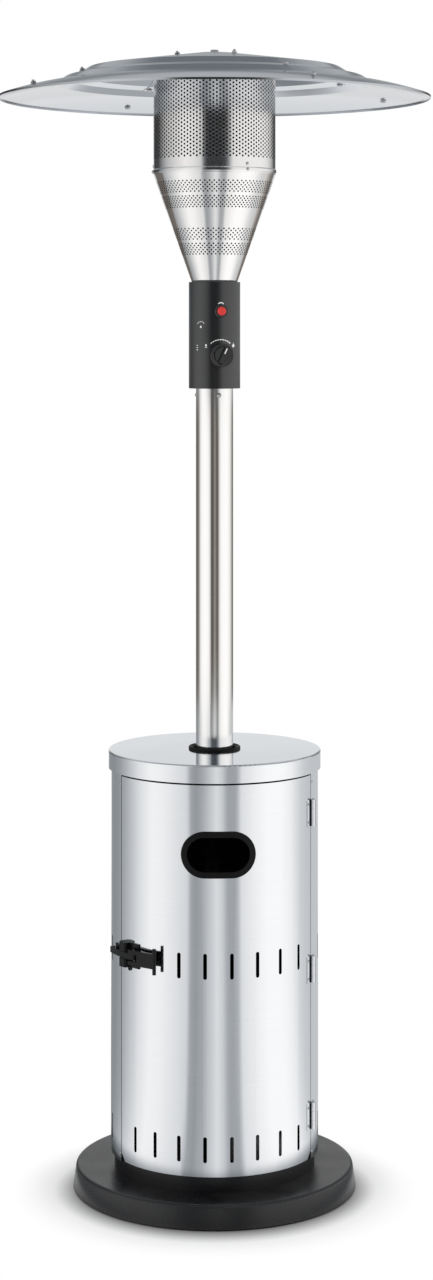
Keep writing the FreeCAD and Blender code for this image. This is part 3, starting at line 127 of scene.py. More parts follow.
HIGH_GLOW = ((-180, 0.60), (-168, 0.60), (-160, 0.05), (-132, 0.06), (-114, 0.30),
             (-101, 0.49), (-88, 0.61), (-70, 0.77), (-57, 0.88), (-40, 0.79), (-27, 0.66),
             (-22, 0.14), (-16, 0.03), (17, 0.03), (23, 0.14), (28, 0.50), (33, 0.80),
             (50, 0.87), (95, 0.88), (112, 0.80), (127, 0.56), (146, 0.09), (162, 0.09),
             (168, 0.60), (180, 0.60))
EVEN_GLOW = ((-180, 1.0), (180, 1.0))

# The drum that reflections see, ring by ring: reach, height, table, share of it, coolness
DRUM_STEPS = 180
DRUM = ((0.32, 0.0006, FLOOR_GLOW, 0.12, 0.05), (0.41, 0.0006, FLOOR_GLOW, 0.38, 0.05),
        (0.48, 0.0006, FLOOR_GLOW, 1.0, 0.05), (6.4, 0.0006, FLOOR_GLOW, 1.0, 0.05),
        (6.4, 0.06, POLE_GLOW, 1.0, -0.05), (6.4, 1.30, POLE_GLOW, 1.0, -0.05),
        (6.4, 1.45, HEAD_GLOW, 1.0, 0.05), (6.4, 1.85, HEAD_GLOW, 1.0, 0.10),
        (6.4, 2.10, HIGH_GLOW, 1.0, 0.05), (6.4, 2.90, HIGH_GLOW, 1.0, -0.03),
        (6.4, 3.10, EVEN_GLOW, 0.48, 0.05), (6.4, 3.60, EVEN_GLOW, 0.38, 0.05),
        (6.4, 4.60, EVEN_GLOW, 0.24, 0.05), (6.4, 5.0, EVEN_GLOW, 0.48, 0.05),
        (5.0, 5.0, EVEN_GLOW, 0.56, 0.05), (3.4, 5.0, EVEN_GLOW, 0.50, 0.05),
        (2.2, 5.0, EVEN_GLOW, 0.24, 0.05), (0.01, 5.0, EVEN_GLOW, 0.24, 0.05))

# The studio: lamps with their place, width and height, and watts; the floor, with a shadow
# painted in a dark ring under the base that fades out between two radii; the camera
LAMPS = (("left_softbox", (-3.4, -2.6, 2.6), (2.4, 3.2), 60),
         ("right_softbox", (3.6, -2.2, 2.4), (2.4, 3.2), 42),
         ("top_softbox", (0.3, -0.8, 4.6), (3.0, 3.0), 34))
LAMP_AIM = (0, 0, 1.0)
WORLD_LIGHT = 0.72
FLOOR_REACH = 60.0
SHADOW_RING_SHIFT = (0.0, 0.025, 0.0)
SHADOW_RING = (0.227, 0.307)
SHADOW_RING_FADE = (0.265, 0.395)
CAMERA_LENS, CAMERA_SHIFT = 74.25, -0.2422
CAMERA_TURN, CAMERA_BACK, CAMERA_HEIGHT, CAMERA_ASIDE = -2.2, 5.077, 1.642, 0.00385


# Sizes and colours that a user would change

def length(label, text, size):
    return bpy.props.FloatProperty(name=label, description=text, default=size, min=0,
                                   unit="LENGTH", precision=4)


def count(label, text, number):
    return bpy.props.IntProperty(name=label, description=text, default=number, min=1)


def colour(label, text, shade):
    return bpy.props.FloatVectorProperty(name=label, description=text, default=shade,
                                         subtype="COLOR", size=3, min=0, max=1)


class HeaterSizes(bpy.types.PropertyGroup):
    screen_hole: length("Screen hole", "Diameter of a hole in the emitter screen", 0.0043)
    screen_pitch: length("Screen pitch", "Height from hole to hole in a column", 0.0074)
    screen_columns: count("Screen columns", "Columns of holes round the screen", 116)
    screen_rows: count("Screen rows", "Holes in one column of the screen", 22)
    screen_plain: length("Plain band", "Height of the screen's unpierced foot", 0.026)
    cone_hole: length("Cone hole", "Diameter of a hole in the cone", 0.0035)
    cone_pitch: length("Cone pitch", "Slope length from hole to hole in a column", 0.0084)
    cone_rows: count("Cone rows", "Holes in one column of a band", 3)
    cone_low_columns: count("Low columns", "Columns of holes in the two low bands", 100)
    cone_high_columns: count("High columns", "Columns of holes in the two high bands", 156)
    sheet_gauge: length("Sheet gauge", "Thickness of the pierced sheets", 0.001)
    gauze_gap: length("Gauze gap", "From a pierced sheet to the fine gauze behind it", 0.0010)
    gauze_gauge: length("Gauze", "Thickness of the fine gauze", 0.0004)
    rivet_radius: length("Rivet", "Radius of a rivet head", 0.0032)
    bolt_radius: length("Seam bolt", "Radius over the flats of a seam nut", 0.0048)
    bolt_rise: length("Bolt rise", "Height of a seam bolt over the dish", 0.0075)
    mark_gauge: length("Mark", "Thickness of a printed mark", 0.00012)


class HeaterColours(bpy.types.PropertyGroup):
    wall_steel: colour("Housing steel", "Brushed sheet of the housing", (0.89, 0.90, 0.915))
    # Painted shade on the housing's inner faces and in its door seams
    inside: colour("Housing inner shade", "Painted shade on the dull inner side of the housing", (0.06, 0.06, 0.063))
    pole_steel: colour("Pole steel", "Drawn tube of the pole", (0.94, 0.93, 0.915))
    screen_steel: colour("Screen steel", "Bright sheet of the emitter", (0.95, 0.935, 0.92))
    # Near-black painted shade inside the emitter and the cone, on the gauze behind their holes
    # and on the burner parts
    painted_shade_inside: colour("Emitter inner shade", "Inside of the emitter", (0.012, 0.011, 0.010))
    reflector: colour("Reflector", "Rolled aluminium of the dish", (0.60, 0.62, 0.65))
    plain_steel: colour("Plated steel", "Bolts, pins and brackets", (0.56, 0.56, 0.57))
    black_coat: colour("Powder coat", "Black coat of the base", (0.004, 0.0042, 0.005))
    head_coat: colour("Head coat", "Black coat of the head", (0.005, 0.0052, 0.0058))
    plastic: colour("Plastic", "Black moulded plastic", (0.004, 0.004, 0.0045))
    rubber: colour("Rubber", "Feet, window frame and lid ring", (0.004, 0.004, 0.004))
    red: colour("Red button", "Igniter button", (0.62, 0.030, 0.025))
    brass: colour("Brass", "Gas fittings", (0.72, 0.52, 0.24))
    print_white: colour("Print", "Printed marks", (0.86, 0.86, 0.85))
    floor: colour("Floor", "Floor under the heater", (0.90, 0.90, 0.90))


# Meshes

def turned_point(radius, turn_from_front, height):
    """A point on a circle about the pole's axis; the turn counts from -Y towards +X."""
    return Vector((radius * math.sin(turn_from_front),
                   -radius * math.cos(turn_from_front), height))


def as_mesh(made, name):
    mesh = bpy.data.meshes.new(name)
    made.to_mesh(mesh)
    made.free()
    return mesh


def lathe(profile, steps, closed=True):
    """Turns a profile of (radius, height) points about Z into a closed skin."""
    made = bmesh.new()
    rows = []
    for step in range(steps):
        angle = math.tau * step / steps
        rows.append([made.verts.new(turned_point(radius, angle, height))
                     for radius, height in profile])
    last = len(profile) if closed else len(profile) - 1
    for step, row in enumerate(rows):
        following = rows[(step + 1) % steps]
        for low in range(last):
            high = (low + 1) % len(profile)
            made.faces.new((row[low], following[low], following[high], row[high]))
    bmesh.ops.remove_doubles(made, verts=made.verts, dist=1e-6)
    bmesh.ops.recalc_face_normals(made, faces=made.faces)
    return made


def between_outlines(low, high):
    """A solid between two outlines with as many points each."""
    made = bmesh.new()
    floor, roof = ([made.verts.new(spot) for spot in outline] for outline in (low, high))
    made.faces.new(floor[::-1])
    made.faces.new(roof)
    for at, start in enumerate(floor):
        after = (at + 1) % len(floor)
        made.faces.new((start, floor[after], roof[after], roof[at]))
    return made


def prism(outline, low, high, bevel=0.0):
    """A solid with a flat outline in X and Y between two heights."""
    made = between_outlines([(x, y, low) for x, y in outline], [(x, y, high) for x, y in outline])
    if bevel:
        bmesh.ops.bevel(made, geom=made.edges[:], offset=bevel, segments=2, affect="EDGES",
                        profile=0.6)
    bmesh.ops.recalc_face_normals(made, faces=made.faces)
    return made


def polygon(radius, sides):
    turns = [math.radians(360 / sides * side) for side in range(sides)]
    return [(radius * math.cos(turned), radius * math.sin(turned)) for turned in turns]


def merged(name, parts):
    """One mesh of several, which are used up."""
    made = bmesh.new()
    for part in parts:
        if isinstance(part, bmesh.types.BMesh):
            part = as_mesh(part, "part")
        made.from_mesh(part)
        bpy.data.meshes.remove(part)
    return as_mesh(made, name)


def placed(name, mesh):
    thing = bpy.data.objects.new(name, mesh)
    bpy.context.scene.collection.objects.link(thing)
    return thing


def finished(name, mesh, material, body, replaces=(), sharp=35):
    """A piece in its place: smooth but for its edges, with its finish, on its body."""
    mesh.materials.clear()
    mesh.materials.append(material)
    mesh.polygons.foreach_set("use_smooth", [True] * len(mesh.polygons))
    if sharp:
        mesh.set_sharp_from_angle(angle=math.radians(sharp))
    piece = placed(name, mesh)
    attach(piece, body)
    if replaces:
        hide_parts(*replaces)
    return piece


def line_inside(mesh, shade_finish):
    """Gives the faces that look at the axis a finish of their own: the painted shade of the
    inside.
    """
    mesh.materials.append(shade_finish)
    for face in mesh.polygons:
        outward = Vector((face.center.x, face.center.y, 0)).normalized()
        if face.normal.dot(outward) < -0.3:
            face.material_index = 1


def round_normals(mesh):
    """Gives a skin turned about Z the normals of the true surface, not of its facets."""
    normals = []
    for face in mesh.polygons:
        middle = Vector((face.center.x, face.center.y, 0)).normalized()
        outward = face.normal.dot(middle)
        sideways = face.normal.x * middle.y - face.normal.y * middle.x
        for corner in face.vertices:
            if abs(sideways) > 0.3:
                normals.append(face.normal.copy())
                continue
            spot = mesh.vertices[corner].co
            out = Vector((spot.x, spot.y, 0)).normalized() * outward
            normals.append((out + Vector((0, 0, face.normal.z))).normalized())
    mesh.normals_split_custom_set(normals)


# Node trees

class Bench:
    """Adds nodes to a tree and links them."""

    def __init__(self, tree):
        self.tree = tree

    def add(self, kind, wires=None, **settings):
        node = self.tree.nodes.new(kind)
        node.location = (190 * (len(self.tree.nodes) % 9), -230 * (len(self.tree.nodes) // 9))
        for setting, chosen in settings.items():
            setattr(node, setting, chosen)
        for socket, wire in (wires or {}).items():
            if isinstance(wire, bpy.types.NodeSocket):
                self.tree.links.new(wire, node.inputs[socket])
            else:
                node.inputs[socket].default_value = wire
        return node

    def out(self, kind, wires=None, **settings):
        return self.add(kind, wires, **settings).outputs[0]

    def maths(self, operation, first, second=0.0):
        return self.out("ShaderNodeMath", {0: first, 1: second}, operation=operation)

    plus = partialmethod(maths, "ADD")
    minus = partialmethod(maths, "SUBTRACT")
    times = partialmethod(maths, "MULTIPLY")
    over = partialmethod(maths, "DIVIDE")

    def vector(self, x, y, z):
        return self.out("ShaderNodeCombineXYZ", {0: x, 1: y, 2: z})

    def vectors(self, operation, *given):
        return self.add("ShaderNodeVectorMath", dict(enumerate(given)),
                        operation=operation).outputs

    def mapped(self, value, start, end, low=0.0, high=1.0, **settings):
        return self.out("ShaderNodeMapRange", {0: value, 1: start, 2: end, 3: low, 4: high},
                        **settings)

    def noise(self, spot, size, detail, rough=0.5):
        return self.out("ShaderNodeTexNoise", {"Vector": spot, "Scale": size,
                                               "Detail": detail, "Roughness": rough})

    def bump(self, height, distance, **under):
        return self.out("ShaderNodeBump", {"Height": height, "Strength": 1.0,
                                           "Distance": distance, **under})


def emptied(owner):
    """A bench on the cleared tree of a material or a world."""
    owner.use_nodes = True
    owner.node_tree.nodes.clear()
    return Bench(owner.node_tree)


def new_group(name, kind, takes, gives):
    """A bench on a new node group with these sockets, and what comes into it."""
    tree = bpy.data.node_groups.new(name, kind)
    for label, socket, start in takes:
        made = tree.interface.new_socket(label, in_out="INPUT", socket_type=socket)
        if start is not None:
            made.default_value = start
    for label, socket in gives:
        tree.interface.new_socket(label, in_out="OUTPUT", socket_type=socket)
    bench = Bench(tree)
    return bench, bench.add("NodeGroupInput").outputs


def run_tree(mesh, tree, settings):
    """Runs a geometry tree on a mesh, once, and returns the plain mesh that comes out."""
    maker = placed("maker", mesh)
    modifier = maker.modifiers.new("Make", "NODES")
    modifier.node_group = tree
    sockets = {item.name: item.identifier for item in tree.interface.items_tree
               if item.in_out == "INPUT"}
    for label, chosen in settings.items():
        modifier[sockets[label]] = chosen
    ready = bpy.context.evaluated_depsgraph_get()
    plain = bpy.data.meshes.new_from_object(maker.evaluated_get(ready))
    maker.modifiers.clear()
    bpy.data.objects.remove(maker)
    return plain


def coated(bench, shape, finish):
    """Ends a geometry tree: the shape takes its finish and goes out."""
    done = bench.out("GeometryNodeSetMaterial", {"Geometry": shape, "Material": finish})
    bench.add("NodeGroupOutput", {0: done})
    return bench.tree


def pierced_wall_tree():
    """Staggered columns of pierced tiles, bent round the axis on a cylinder or a cone."""
    number, whole = "NodeSocketFloat", "NodeSocketInt"
    bench, given = new_group("Pierced Wall", "GeometryNodeTree", [
        ("Tile", "NodeSocketGeometry", None), ("Columns", whole, 8), ("Rows", whole, 2),
        ("Pitch", number, 0.01), ("Middle Radius", number, 0.1), ("Low Radius", number, 0.1),
        ("Low Height", number, 0.0), ("Lean", number, 0.0), ("Rise", number, 1.0),
        ("Finish", "NodeSocketMaterial", None)], [("Wall", "NodeSocketGeometry")])
    index = bench.out("GeometryNodeInputIndex")
    width = bench.over(bench.times(given["Middle Radius"], math.tau), given["Columns"])
    column = bench.maths("FLOOR", bench.over(bench.plus(index, 0.5), given["Rows"]))
    row = bench.minus(index, bench.times(column, given["Rows"]))
    half = bench.times(bench.maths("MODULO", column, 2.0), 0.5)
    up = bench.plus(bench.plus(row, 0.5), half)
    across = bench.times(column, width)
    holes = bench.out("GeometryNodePoints", {
        "Count": bench.times(given["Columns"], given["Rows"]),
        "Position": bench.vector(across, 0.0, bench.times(up, given["Pitch"]))})
    even = bench.minus(1.0, bench.maths("MODULO", index, 2.0))
    rest = bench.plus(bench.times(even, given["Rows"]), 0.25)
    blanks = bench.out("GeometryNodePoints", {
        "Count": given["Columns"],
        "Position": bench.vector(bench.times(index, width), 0.0,
                                 bench.times(rest, given["Pitch"]))})
    is_blank = bench.out("GeometryNodeInputNamedAttribute", {"Name": "blank"},
                         data_type="BOOLEAN")
    split = bench.add("GeometryNodeSeparateGeometry",
                      {"Geometry": given["Tile"], "Selection": is_blank}, domain="FACE").outputs
    both = bench.add("GeometryNodeJoinGeometry")
    for points, shape in ((holes, "Inverted"), (blanks, "Selection")):
        tiles = bench.out("GeometryNodeInstanceOnPoints", {"Points": points,
                                                           "Instance": split[shape]})
        bench.tree.links.new(tiles, both.inputs[0])
    flat = bench.out("GeometryNodeRealizeInstances", {"Geometry": both.outputs[0]})
    spot = bench.add("ShaderNodeSeparateXYZ",
                     {0: bench.out("GeometryNodeInputPosition")}).outputs
    angle = bench.over(spot["X"], given["Middle Radius"])
    out = bench.plus(given["Low Radius"], bench.minus(
        bench.times(spot["Z"], given["Lean"]), bench.times(spot["Y"], given["Rise"])))
    high = bench.plus(given["Low Height"], bench.plus(
        bench.times(spot["Z"], given["Rise"]), bench.times(spot["Y"], given["Lean"])))
    ahead = bench.times(out, bench.maths("COSINE", angle))
    bent = bench.out("GeometryNodeSetPosition", {"Geometry": flat, "Position": bench.vector(
        bench.times(out, bench.maths("SINE", angle)), bench.times(ahead, -1.0), high)})
    joined = bench.out("GeometryNodeMergeByDistance", {"Geometry": bent, "Distance": 1e-5})
    return coated(bench, joined, given["Finish"])


def fastener_tree():
    """One fastener on every vertex of a mesh of places, turned by its facing attribute."""
    bench, given = new_group("Fasteners", "GeometryNodeTree", [
        ("Fastener", "NodeSocketGeometry", None), ("Places", "NodeSocketObject", None),
        ("Finish", "NodeSocketMaterial", None)], [("Fasteners", "NodeSocketGeometry")])
    places = bench.add("GeometryNodeObjectInfo", {"Object": given["Places"]})
    facing = bench.out("GeometryNodeInputNamedAttribute", {"Name": "facing"},
                       data_type="FLOAT_VECTOR")
    set_out = bench.out("GeometryNodeInstanceOnPoints", {
        "Points": places.outputs["Geometry"], "Instance": given["Fastener"],
        "Rotation": bench.out("FunctionNodeEulerToRotation", {0: facing})})
    real = bench.out("GeometryNodeRealizeInstances", {"Geometry": set_out})
    return coated(bench, real, given["Finish"])


def tree_named(name, build):
    return bpy.data.node_groups.get(name) or build()


def fasteners(name, fastener, places, material, body, sharp=35):
    """Sets one fastener, modelled with its head up, at each (spot, facing) of the places."""
    spots = bpy.data.meshes.new("places")
    spots.from_pydata([spot for spot, facing in places], [], [])
    facings = spots.attributes.new("facing", "FLOAT_VECTOR", "POINT")
    for row, (spot, facing) in zip(facings.data, places):
        row.vector = Vector(facing).to_track_quat("Z", "Y").to_euler()
    holder = placed("places", spots)
    shape = fastener if isinstance(fastener, bpy.types.Mesh) else as_mesh(fastener, name)
    mesh = run_tree(shape, tree_named("Fasteners", fastener_tree),
                    {"Places": holder, "Finish": material})
    bpy.data.objects.remove(holder)
    return finished(name, mesh, material, body, sharp=sharp)


# Finishes

def grain_group():
    """Fine drawn lines and soft clouds on a metal, as masks."""
    bench, given = new_group("Metal Grain", "ShaderNodeTree", [
        ("Stretch", "NodeSocketVector", (30.0, 30.0, 900.0)),
        ("Cloud Size", "NodeSocketFloat", 7.0)],
        [("Lines", "NodeSocketFloat"), ("Clouds", "NodeSocketFloat")])
    spot = bench.add("ShaderNodeTexCoord").outputs["Object"]
    drawn = bench.vectors("MULTIPLY", spot, given["Stretch"])[0]
    bench.add("NodeGroupOutput", {0: bench.noise(drawn, 1.0, 3.0, 0.6),
                                  1: bench.noise(spot, given["Cloud Size"], 3.0, 0.55)})
    return bench.tree


def speckle_group():
    """The fine orange peel of a sprayed coat and the dust that lies on it."""
    bench, given = new_group("Coat Speckle", "ShaderNodeTree", [
        ("Size", "NodeSocketFloat", 900.0)],
        [("Peel", "NodeSocketFloat"), ("Dust", "NodeSocketFloat")])
    spot = bench.add("ShaderNodeTexCoord").outputs["Object"]
    up = bench.add("ShaderNodeSeparateXYZ",
                   {0: bench.add("ShaderNodeNewGeometry").outputs["Normal"]}).outputs["Z"]
    dust = bench.mapped(bench.noise(spot, 9.0, 4.0), 0.45, 0.75)
    bench.add("NodeGroupOutput", {0: bench.noise(spot, given["Size"], 2.0),
                                  1: bench.times(dust, bench.maths("MAXIMUM", up, 0.0))})
    return bench.tree


def inner_shade_group():
    """1 where shade is painted: faces of a round piece that look at the pole's axis, and door
    seams.
    """
    bench, given = new_group("Inner Painted Shade", "ShaderNodeTree", [
        ("Limit", "NodeSocketFloat", 0.3), ("Seam", "NodeSocketFloat", 1.0),
        ("Seam Width", "NodeSocketFloat", 0.01), ("Seam Top", "NodeSocketFloat", 1.0)],
        [("Inside", "NodeSocketFloat")])
    read = bench.add("ShaderNodeTexCoord").outputs
    flat = bench.vectors("MULTIPLY", read["Object"], (1, 1, 0))[0]
    out = bench.vectors("NORMALIZE", flat)[0]
    facing = bench.vectors("DOT_PRODUCT", read["Normal"], out)["Value"]
    inside = bench.maths("GREATER_THAN", bench.times(facing, -1.0), given["Limit"])
    spot = bench.add("ShaderNodeSeparateXYZ", {0: read["Object"]}).outputs
    turned = bench.maths("ARCTAN2", bench.maths("ABSOLUTE", spot["X"]),
                         bench.times(spot["Y"], -1.0))
    off = bench.maths("ABSOLUTE", bench.minus(turned, given["Seam"]))
    seam = bench.times(bench.maths("LESS_THAN", off, given["Seam Width"]),
                       bench.maths("LESS_THAN", spot["Z"], given["Seam Top"]))
    bench.add("NodeGroupOutput", {0: bench.maths("MAXIMUM", inside, seam)})
    return bench.tree


def new_material(name):
    material = bpy.data.materials.new(name)
    bench = emptied(material)
    skin = bench.add("ShaderNodeBsdfPrincipled")
    bench.add("ShaderNodeOutputMaterial", {0: skin.outputs[0]})
    return material, bench, skin


def grouped(bench, name, build, wires):
    return bench.add("ShaderNodeGroup", wires, node_tree=tree_named(name, build)).outputs


def shades(bench, mask, low, high):
    """A colour that a mask varies from one to another; the first may be a wire."""
    mix = bench.add("ShaderNodeMix", data_type="RGBA")
    colours = {socket.name: socket for socket in mix.inputs if socket.type == "RGBA"}
    bench.tree.links.new(mask, mix.inputs["Factor"])
    for label, chosen in (("A", low), ("B", high)):
        if isinstance(chosen, bpy.types.NodeSocket):
            bench.tree.links.new(chosen, colours[label])
        else:
            colours[label].default_value = [*chosen, 1]
    return next(out for out in mix.outputs if out.type == "RGBA")


def between(bench, mask, low, high):
    return bench.mapped(mask, 0.3, 0.7, low, high)


def metal(name, colour, stretch, rough, spread=0.05, depth=0.03, waves=0.0, cloud=7.0,
          inside=None):
    """Bare metal: drawn lines, soft clouds in its gloss, slow waves, and painted shade on a dull
    inside.
    """
    material, bench, skin = new_material(name)
    grain = grouped(bench, "Metal Grain", grain_group, {"Stretch": stretch, "Cloud Size": cloud})
    skin.inputs["Metallic"].default_value = 1.0
    links = bench.tree.links
    dull, bright = ([min(part * share, 1) for part in colour] for share in (0.96, 1.03))
    tone = shades(bench, grain["Lines"], dull, bright)
    gloss = bench.plus(between(bench, grain["Clouds"], rough - spread, rough + spread),
                       between(bench, grain["Lines"], -0.02, 0.02))
    # Painted shade: inner faces and a thin line along each door seam take the inside colour
    if inside:
        inner = grouped(bench, "Inner Painted Shade", inner_shade_group, {
            "Limit": 0.3, "Seam": math.radians(SEAM_FROM_FRONT), "Seam Width": SEAM_SHADE,
            "Seam Top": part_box("door_panel")[1].z})[0]
        tone = shades(bench, inner, tone, inside)
        gloss = bench.plus(gloss, bench.times(inner, 0.4))
    links.new(tone, skin.inputs["Base Color"])
    links.new(gloss, skin.inputs["Roughness"])
    bump = bench.bump(bench.times(grain["Lines"], depth), 0.0002)
    if waves:
        bump = bench.bump(bench.times(grain["Clouds"], waves), 0.002, Normal=bump)
    links.new(bump, skin.inputs["Normal"])
    return material


def coat(name, colour, rough, peel=0.15, size=900.0, dust=0.03, gloss=0.5):
    """A dark coat or plastic: fine peel, and dust, if any, on what faces up."""
    material, bench, skin = new_material(name)
    speck = grouped(bench, "Coat Speckle", speckle_group, {"Size": size})
    links = bench.tree.links
    skin.inputs["Base Color"].default_value = [*colour, 1]
    skin.inputs["Specular IOR Level"].default_value = gloss
    roughness = between(bench, speck["Peel"], rough - 0.04, rough + 0.04)
    if dust:
        lying = bench.times(speck["Dust"], dust)
        links.new(shades(bench, lying, colour, DUST), skin.inputs["Base Color"])
        roughness = bench.plus(roughness, bench.times(speck["Dust"], 0.12))
    links.new(roughness, skin.inputs["Roughness"])
    links.new(bench.bump(bench.times(speck["Peel"], peel), 0.0002), skin.inputs["Normal"])
    return material


FINISHES = {}


def build_finishes():
    tones = bpy.context.scene.heater_colours
    FINISHES.update({
        "brushed_wall": metal("Brushed housing sheet", tones.wall_steel, AROUND, 0.10,
                              spread=0.02, depth=0.015, waves=0.03, inside=tones.inside),
        "pole_tube": metal("Drawn pole tube", tones.pole_steel, ALONG, 0.11, spread=0.02),
        "screen_steel": metal("Bright screen sheet", tones.screen_steel, AROUND, 0.12,
                              spread=0.015, depth=0.015),
        # Near-black painted shade for what lies inside the emitter and the cone
        "painted_shade_inside": coat("Painted shade inside", tones.painted_shade_inside, 0.62, peel=0.3, dust=0, gloss=0.2),
        "reflector_sheet": metal("Rolled aluminium", tones.reflector, ROLLED, 0.12,
                                 spread=0.02, depth=0.005, waves=0.015, cloud=4.0),
        "plain_steel": metal("Plated steel", tones.plain_steel, (200.0, 200.0, 200.0), 0.30),
        "brass": metal("Turned brass", tones.brass, (300.0, 300.0, 300.0), 0.25),
        "black_coat": coat("Black powder coat", tones.black_coat, 0.27, peel=0.12, gloss=0.60),
        "latch_coat": coat("Black latch coat", tones.rubber, 0.30, peel=0.08, gloss=0.22),
        "head_coat": coat("Satin head coat", tones.head_coat, 0.25, peel=0.05, gloss=1.0),
        "black_plastic": coat("Moulded plastic", tones.plastic, 0.20, peel=0.05, size=1500.0,
                              gloss=0.8),
        "black_rubber": coat("Black rubber", tones.rubber, 0.40, peel=0.15, size=700.0,
                             dust=0.01, gloss=0.15),
        "red_button": coat("Red button plastic", tones.red, 0.22, peel=0.03, dust=0),
        "print": coat("White print", tones.print_white, 0.5, peel=0.05, dust=0),
    })


class HEATER_OT_finishes(bpy.types.Operator):
    """Gives every piece of the frame its finish"""
    bl_idname = "heater.finishes"
    bl_label = "Finish the frame's pieces"

    def execute(self, context):
        build_finishes()
        own = {"pole": "pole_tube"}
        own.update(dict.fromkeys(HEAD_PIECES, "head_coat"))
        # The burner parts inside the emitter take the painted shade too
        own.update(dict.fromkeys(BURNER_PIECES, "painted_shade_inside"))
        own.update({name: "brushed_wall" for name in NODES if "_hinge_" in name})
        own.update({name: "latch_coat" for name in NODES if name.startswith("latch_")})
        for row in frame["record"]["subparts"]:
            piece = NODES[row["node"]]
            finish = FINISHES[own.get(row["node"], row["material_slot"])]
            for slot in piece.material_slots:
                slot.material = finish
        return {"FINISHED"}


def tile(width, pitch, hole, gauge):
    """A pierced tile and a blank half tile, both as thick as the sheet and open at the sides."""
    made = bmesh.new()
    blank = made.faces.layers.bool.new("blank")
    edge = [(width / 2, 0), (width / 2, pitch / 2), (-width / 2, pitch / 2), (-width / 2, 0),
            (-width / 2, -pitch / 2), (width / 2, -pitch / 2)]
    rims = polygon(hole / 2, 8)
    # Corners e0 to e5 of the tile and r0 to r7 of the hole's rim, counter-clockwise
    faces = ["e0 e1 r1 r0", "e1 r2 r1", "e1 e2 r2", "e2 r3 r2", "e2 e3 r4 r3", "e3 e4 r5 r4",
             "e4 r6 r5", "e4 e5 r6", "e5 r7 r6", "e5 e0 r0 r7"]
    skins = []
    for depth, outer in ((0.0, True), (gauge, False)):
        corners = {f"e{at}": made.verts.new((x, depth, z)) for at, (x, z) in enumerate(edge)}
        corners.update({f"r{at}": made.verts.new((x, depth, z))
                        for at, (x, z) in enumerate(rims)})
        skins.append(corners)
        for face in faces:
            loop = [corners[word] for word in face.split()]
            made.faces.new(loop if outer else loop[::-1])
    front, back = skins
    for at in range(8):
        one, two = f"r{at}", f"r{(at + 1) % 8}"
        made.faces.new((front[one], front[two], back[two], back[one]))
    for depth, outer in ((0.0, True), (gauge, False)):
        loop = [made.verts.new((x, depth, z)) for x, z in (
            (-width / 2, -pitch / 4), (width / 2, -pitch / 4),
            (width / 2, pitch / 4), (-width / 2, pitch / 4))]
        made.faces.new(loop if outer else loop[::-1])[blank] = True
    return as_mesh(made, "tile")


def pierced_band(columns, rows, pitch, hole, gauge, radii, low, slope, material):
    """A band of pierced sheet between two radii, open at its two ends."""
    middle = sum(radii) / 2
    return run_tree(tile(math.tau * middle / columns, pitch, hole, gauge),
                    tree_named("Pierced Wall", pierced_wall_tree), {
                        "Columns": columns, "Rows": rows, "Pitch": pitch,
                        "Middle Radius": middle, "Low Radius": radii[0], "Low Height": low,
                        "Lean": math.sin(slope), "Rise": math.cos(slope), "Finish": material})


def plain_ring(gauge, slope, low, high, steps):
    """A closed ring of sheet between two (radius, height) ends."""
    inward = (-gauge * math.cos(slope), gauge * math.sin(slope))
    return lathe([low, high, (high[0] + inward[0], high[1] + inward[1]),
                  (low[0] + inward[0], low[1] + inward[1])], steps)


def pierced_piece(name, parts, gauzes, node):
    """The pierced sheet that stands in for a node, its inner faces in painted shade, and the
    gauze behind it, in near-black painted shade.
    """
    painted_shade_inside = FINISHES["painted_shade_inside"]
    finished(name + "_gauze", merged("gauze", gauzes), painted_shade_inside, "stand")
    piece = finished("pierced_" + name, merged("wall", parts), FINISHES["screen_steel"],
                     "stand", (node,), sharp=0)
    # Faces that look at the axis take the painted shade
    line_inside(piece.data, painted_shade_inside)
    round_normals(piece.data)


class HEATER_OT_emitter_screen(bpy.types.Operator):
    """Makes the pierced cylinder that glows when the burner is lit"""
    bl_idname = "heater.emitter_screen"
    bl_label = "Emitter screen"

    def execute(self, context):
        sizes = context.scene.heater_sizes
        low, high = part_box("emitter_screen")
        radius = high.x
        steel = FINISHES["screen_steel"]
        start = low.z + sizes.screen_plain
        pierced = (sizes.screen_rows + 0.5) * sizes.screen_pitch
        steps = sizes.screen_columns
        parts = [
            plain_ring(sizes.sheet_gauge, 0, (radius, low.z), (radius, start), steps),
            pierced_band(steps, sizes.screen_rows, sizes.screen_pitch, sizes.screen_hole,
                         sizes.sheet_gauge, (radius, radius), start, 0, steel),
        ]
        if start + pierced < high.z:
            parts.append(plain_ring(sizes.sheet_gauge, 0, (radius, start + pierced),
                                    (radius, high.z), steps))
        behind = radius - sizes.sheet_gauge - sizes.gauze_gap
        gauze = plain_ring(sizes.gauze_gauge, 0, (behind, start),
                           (behind, min(start + pierced, high.z)), steps)
        pierced_piece("emitter", parts, [gauze], "emitter_screen")
        return {"FINISHED"}


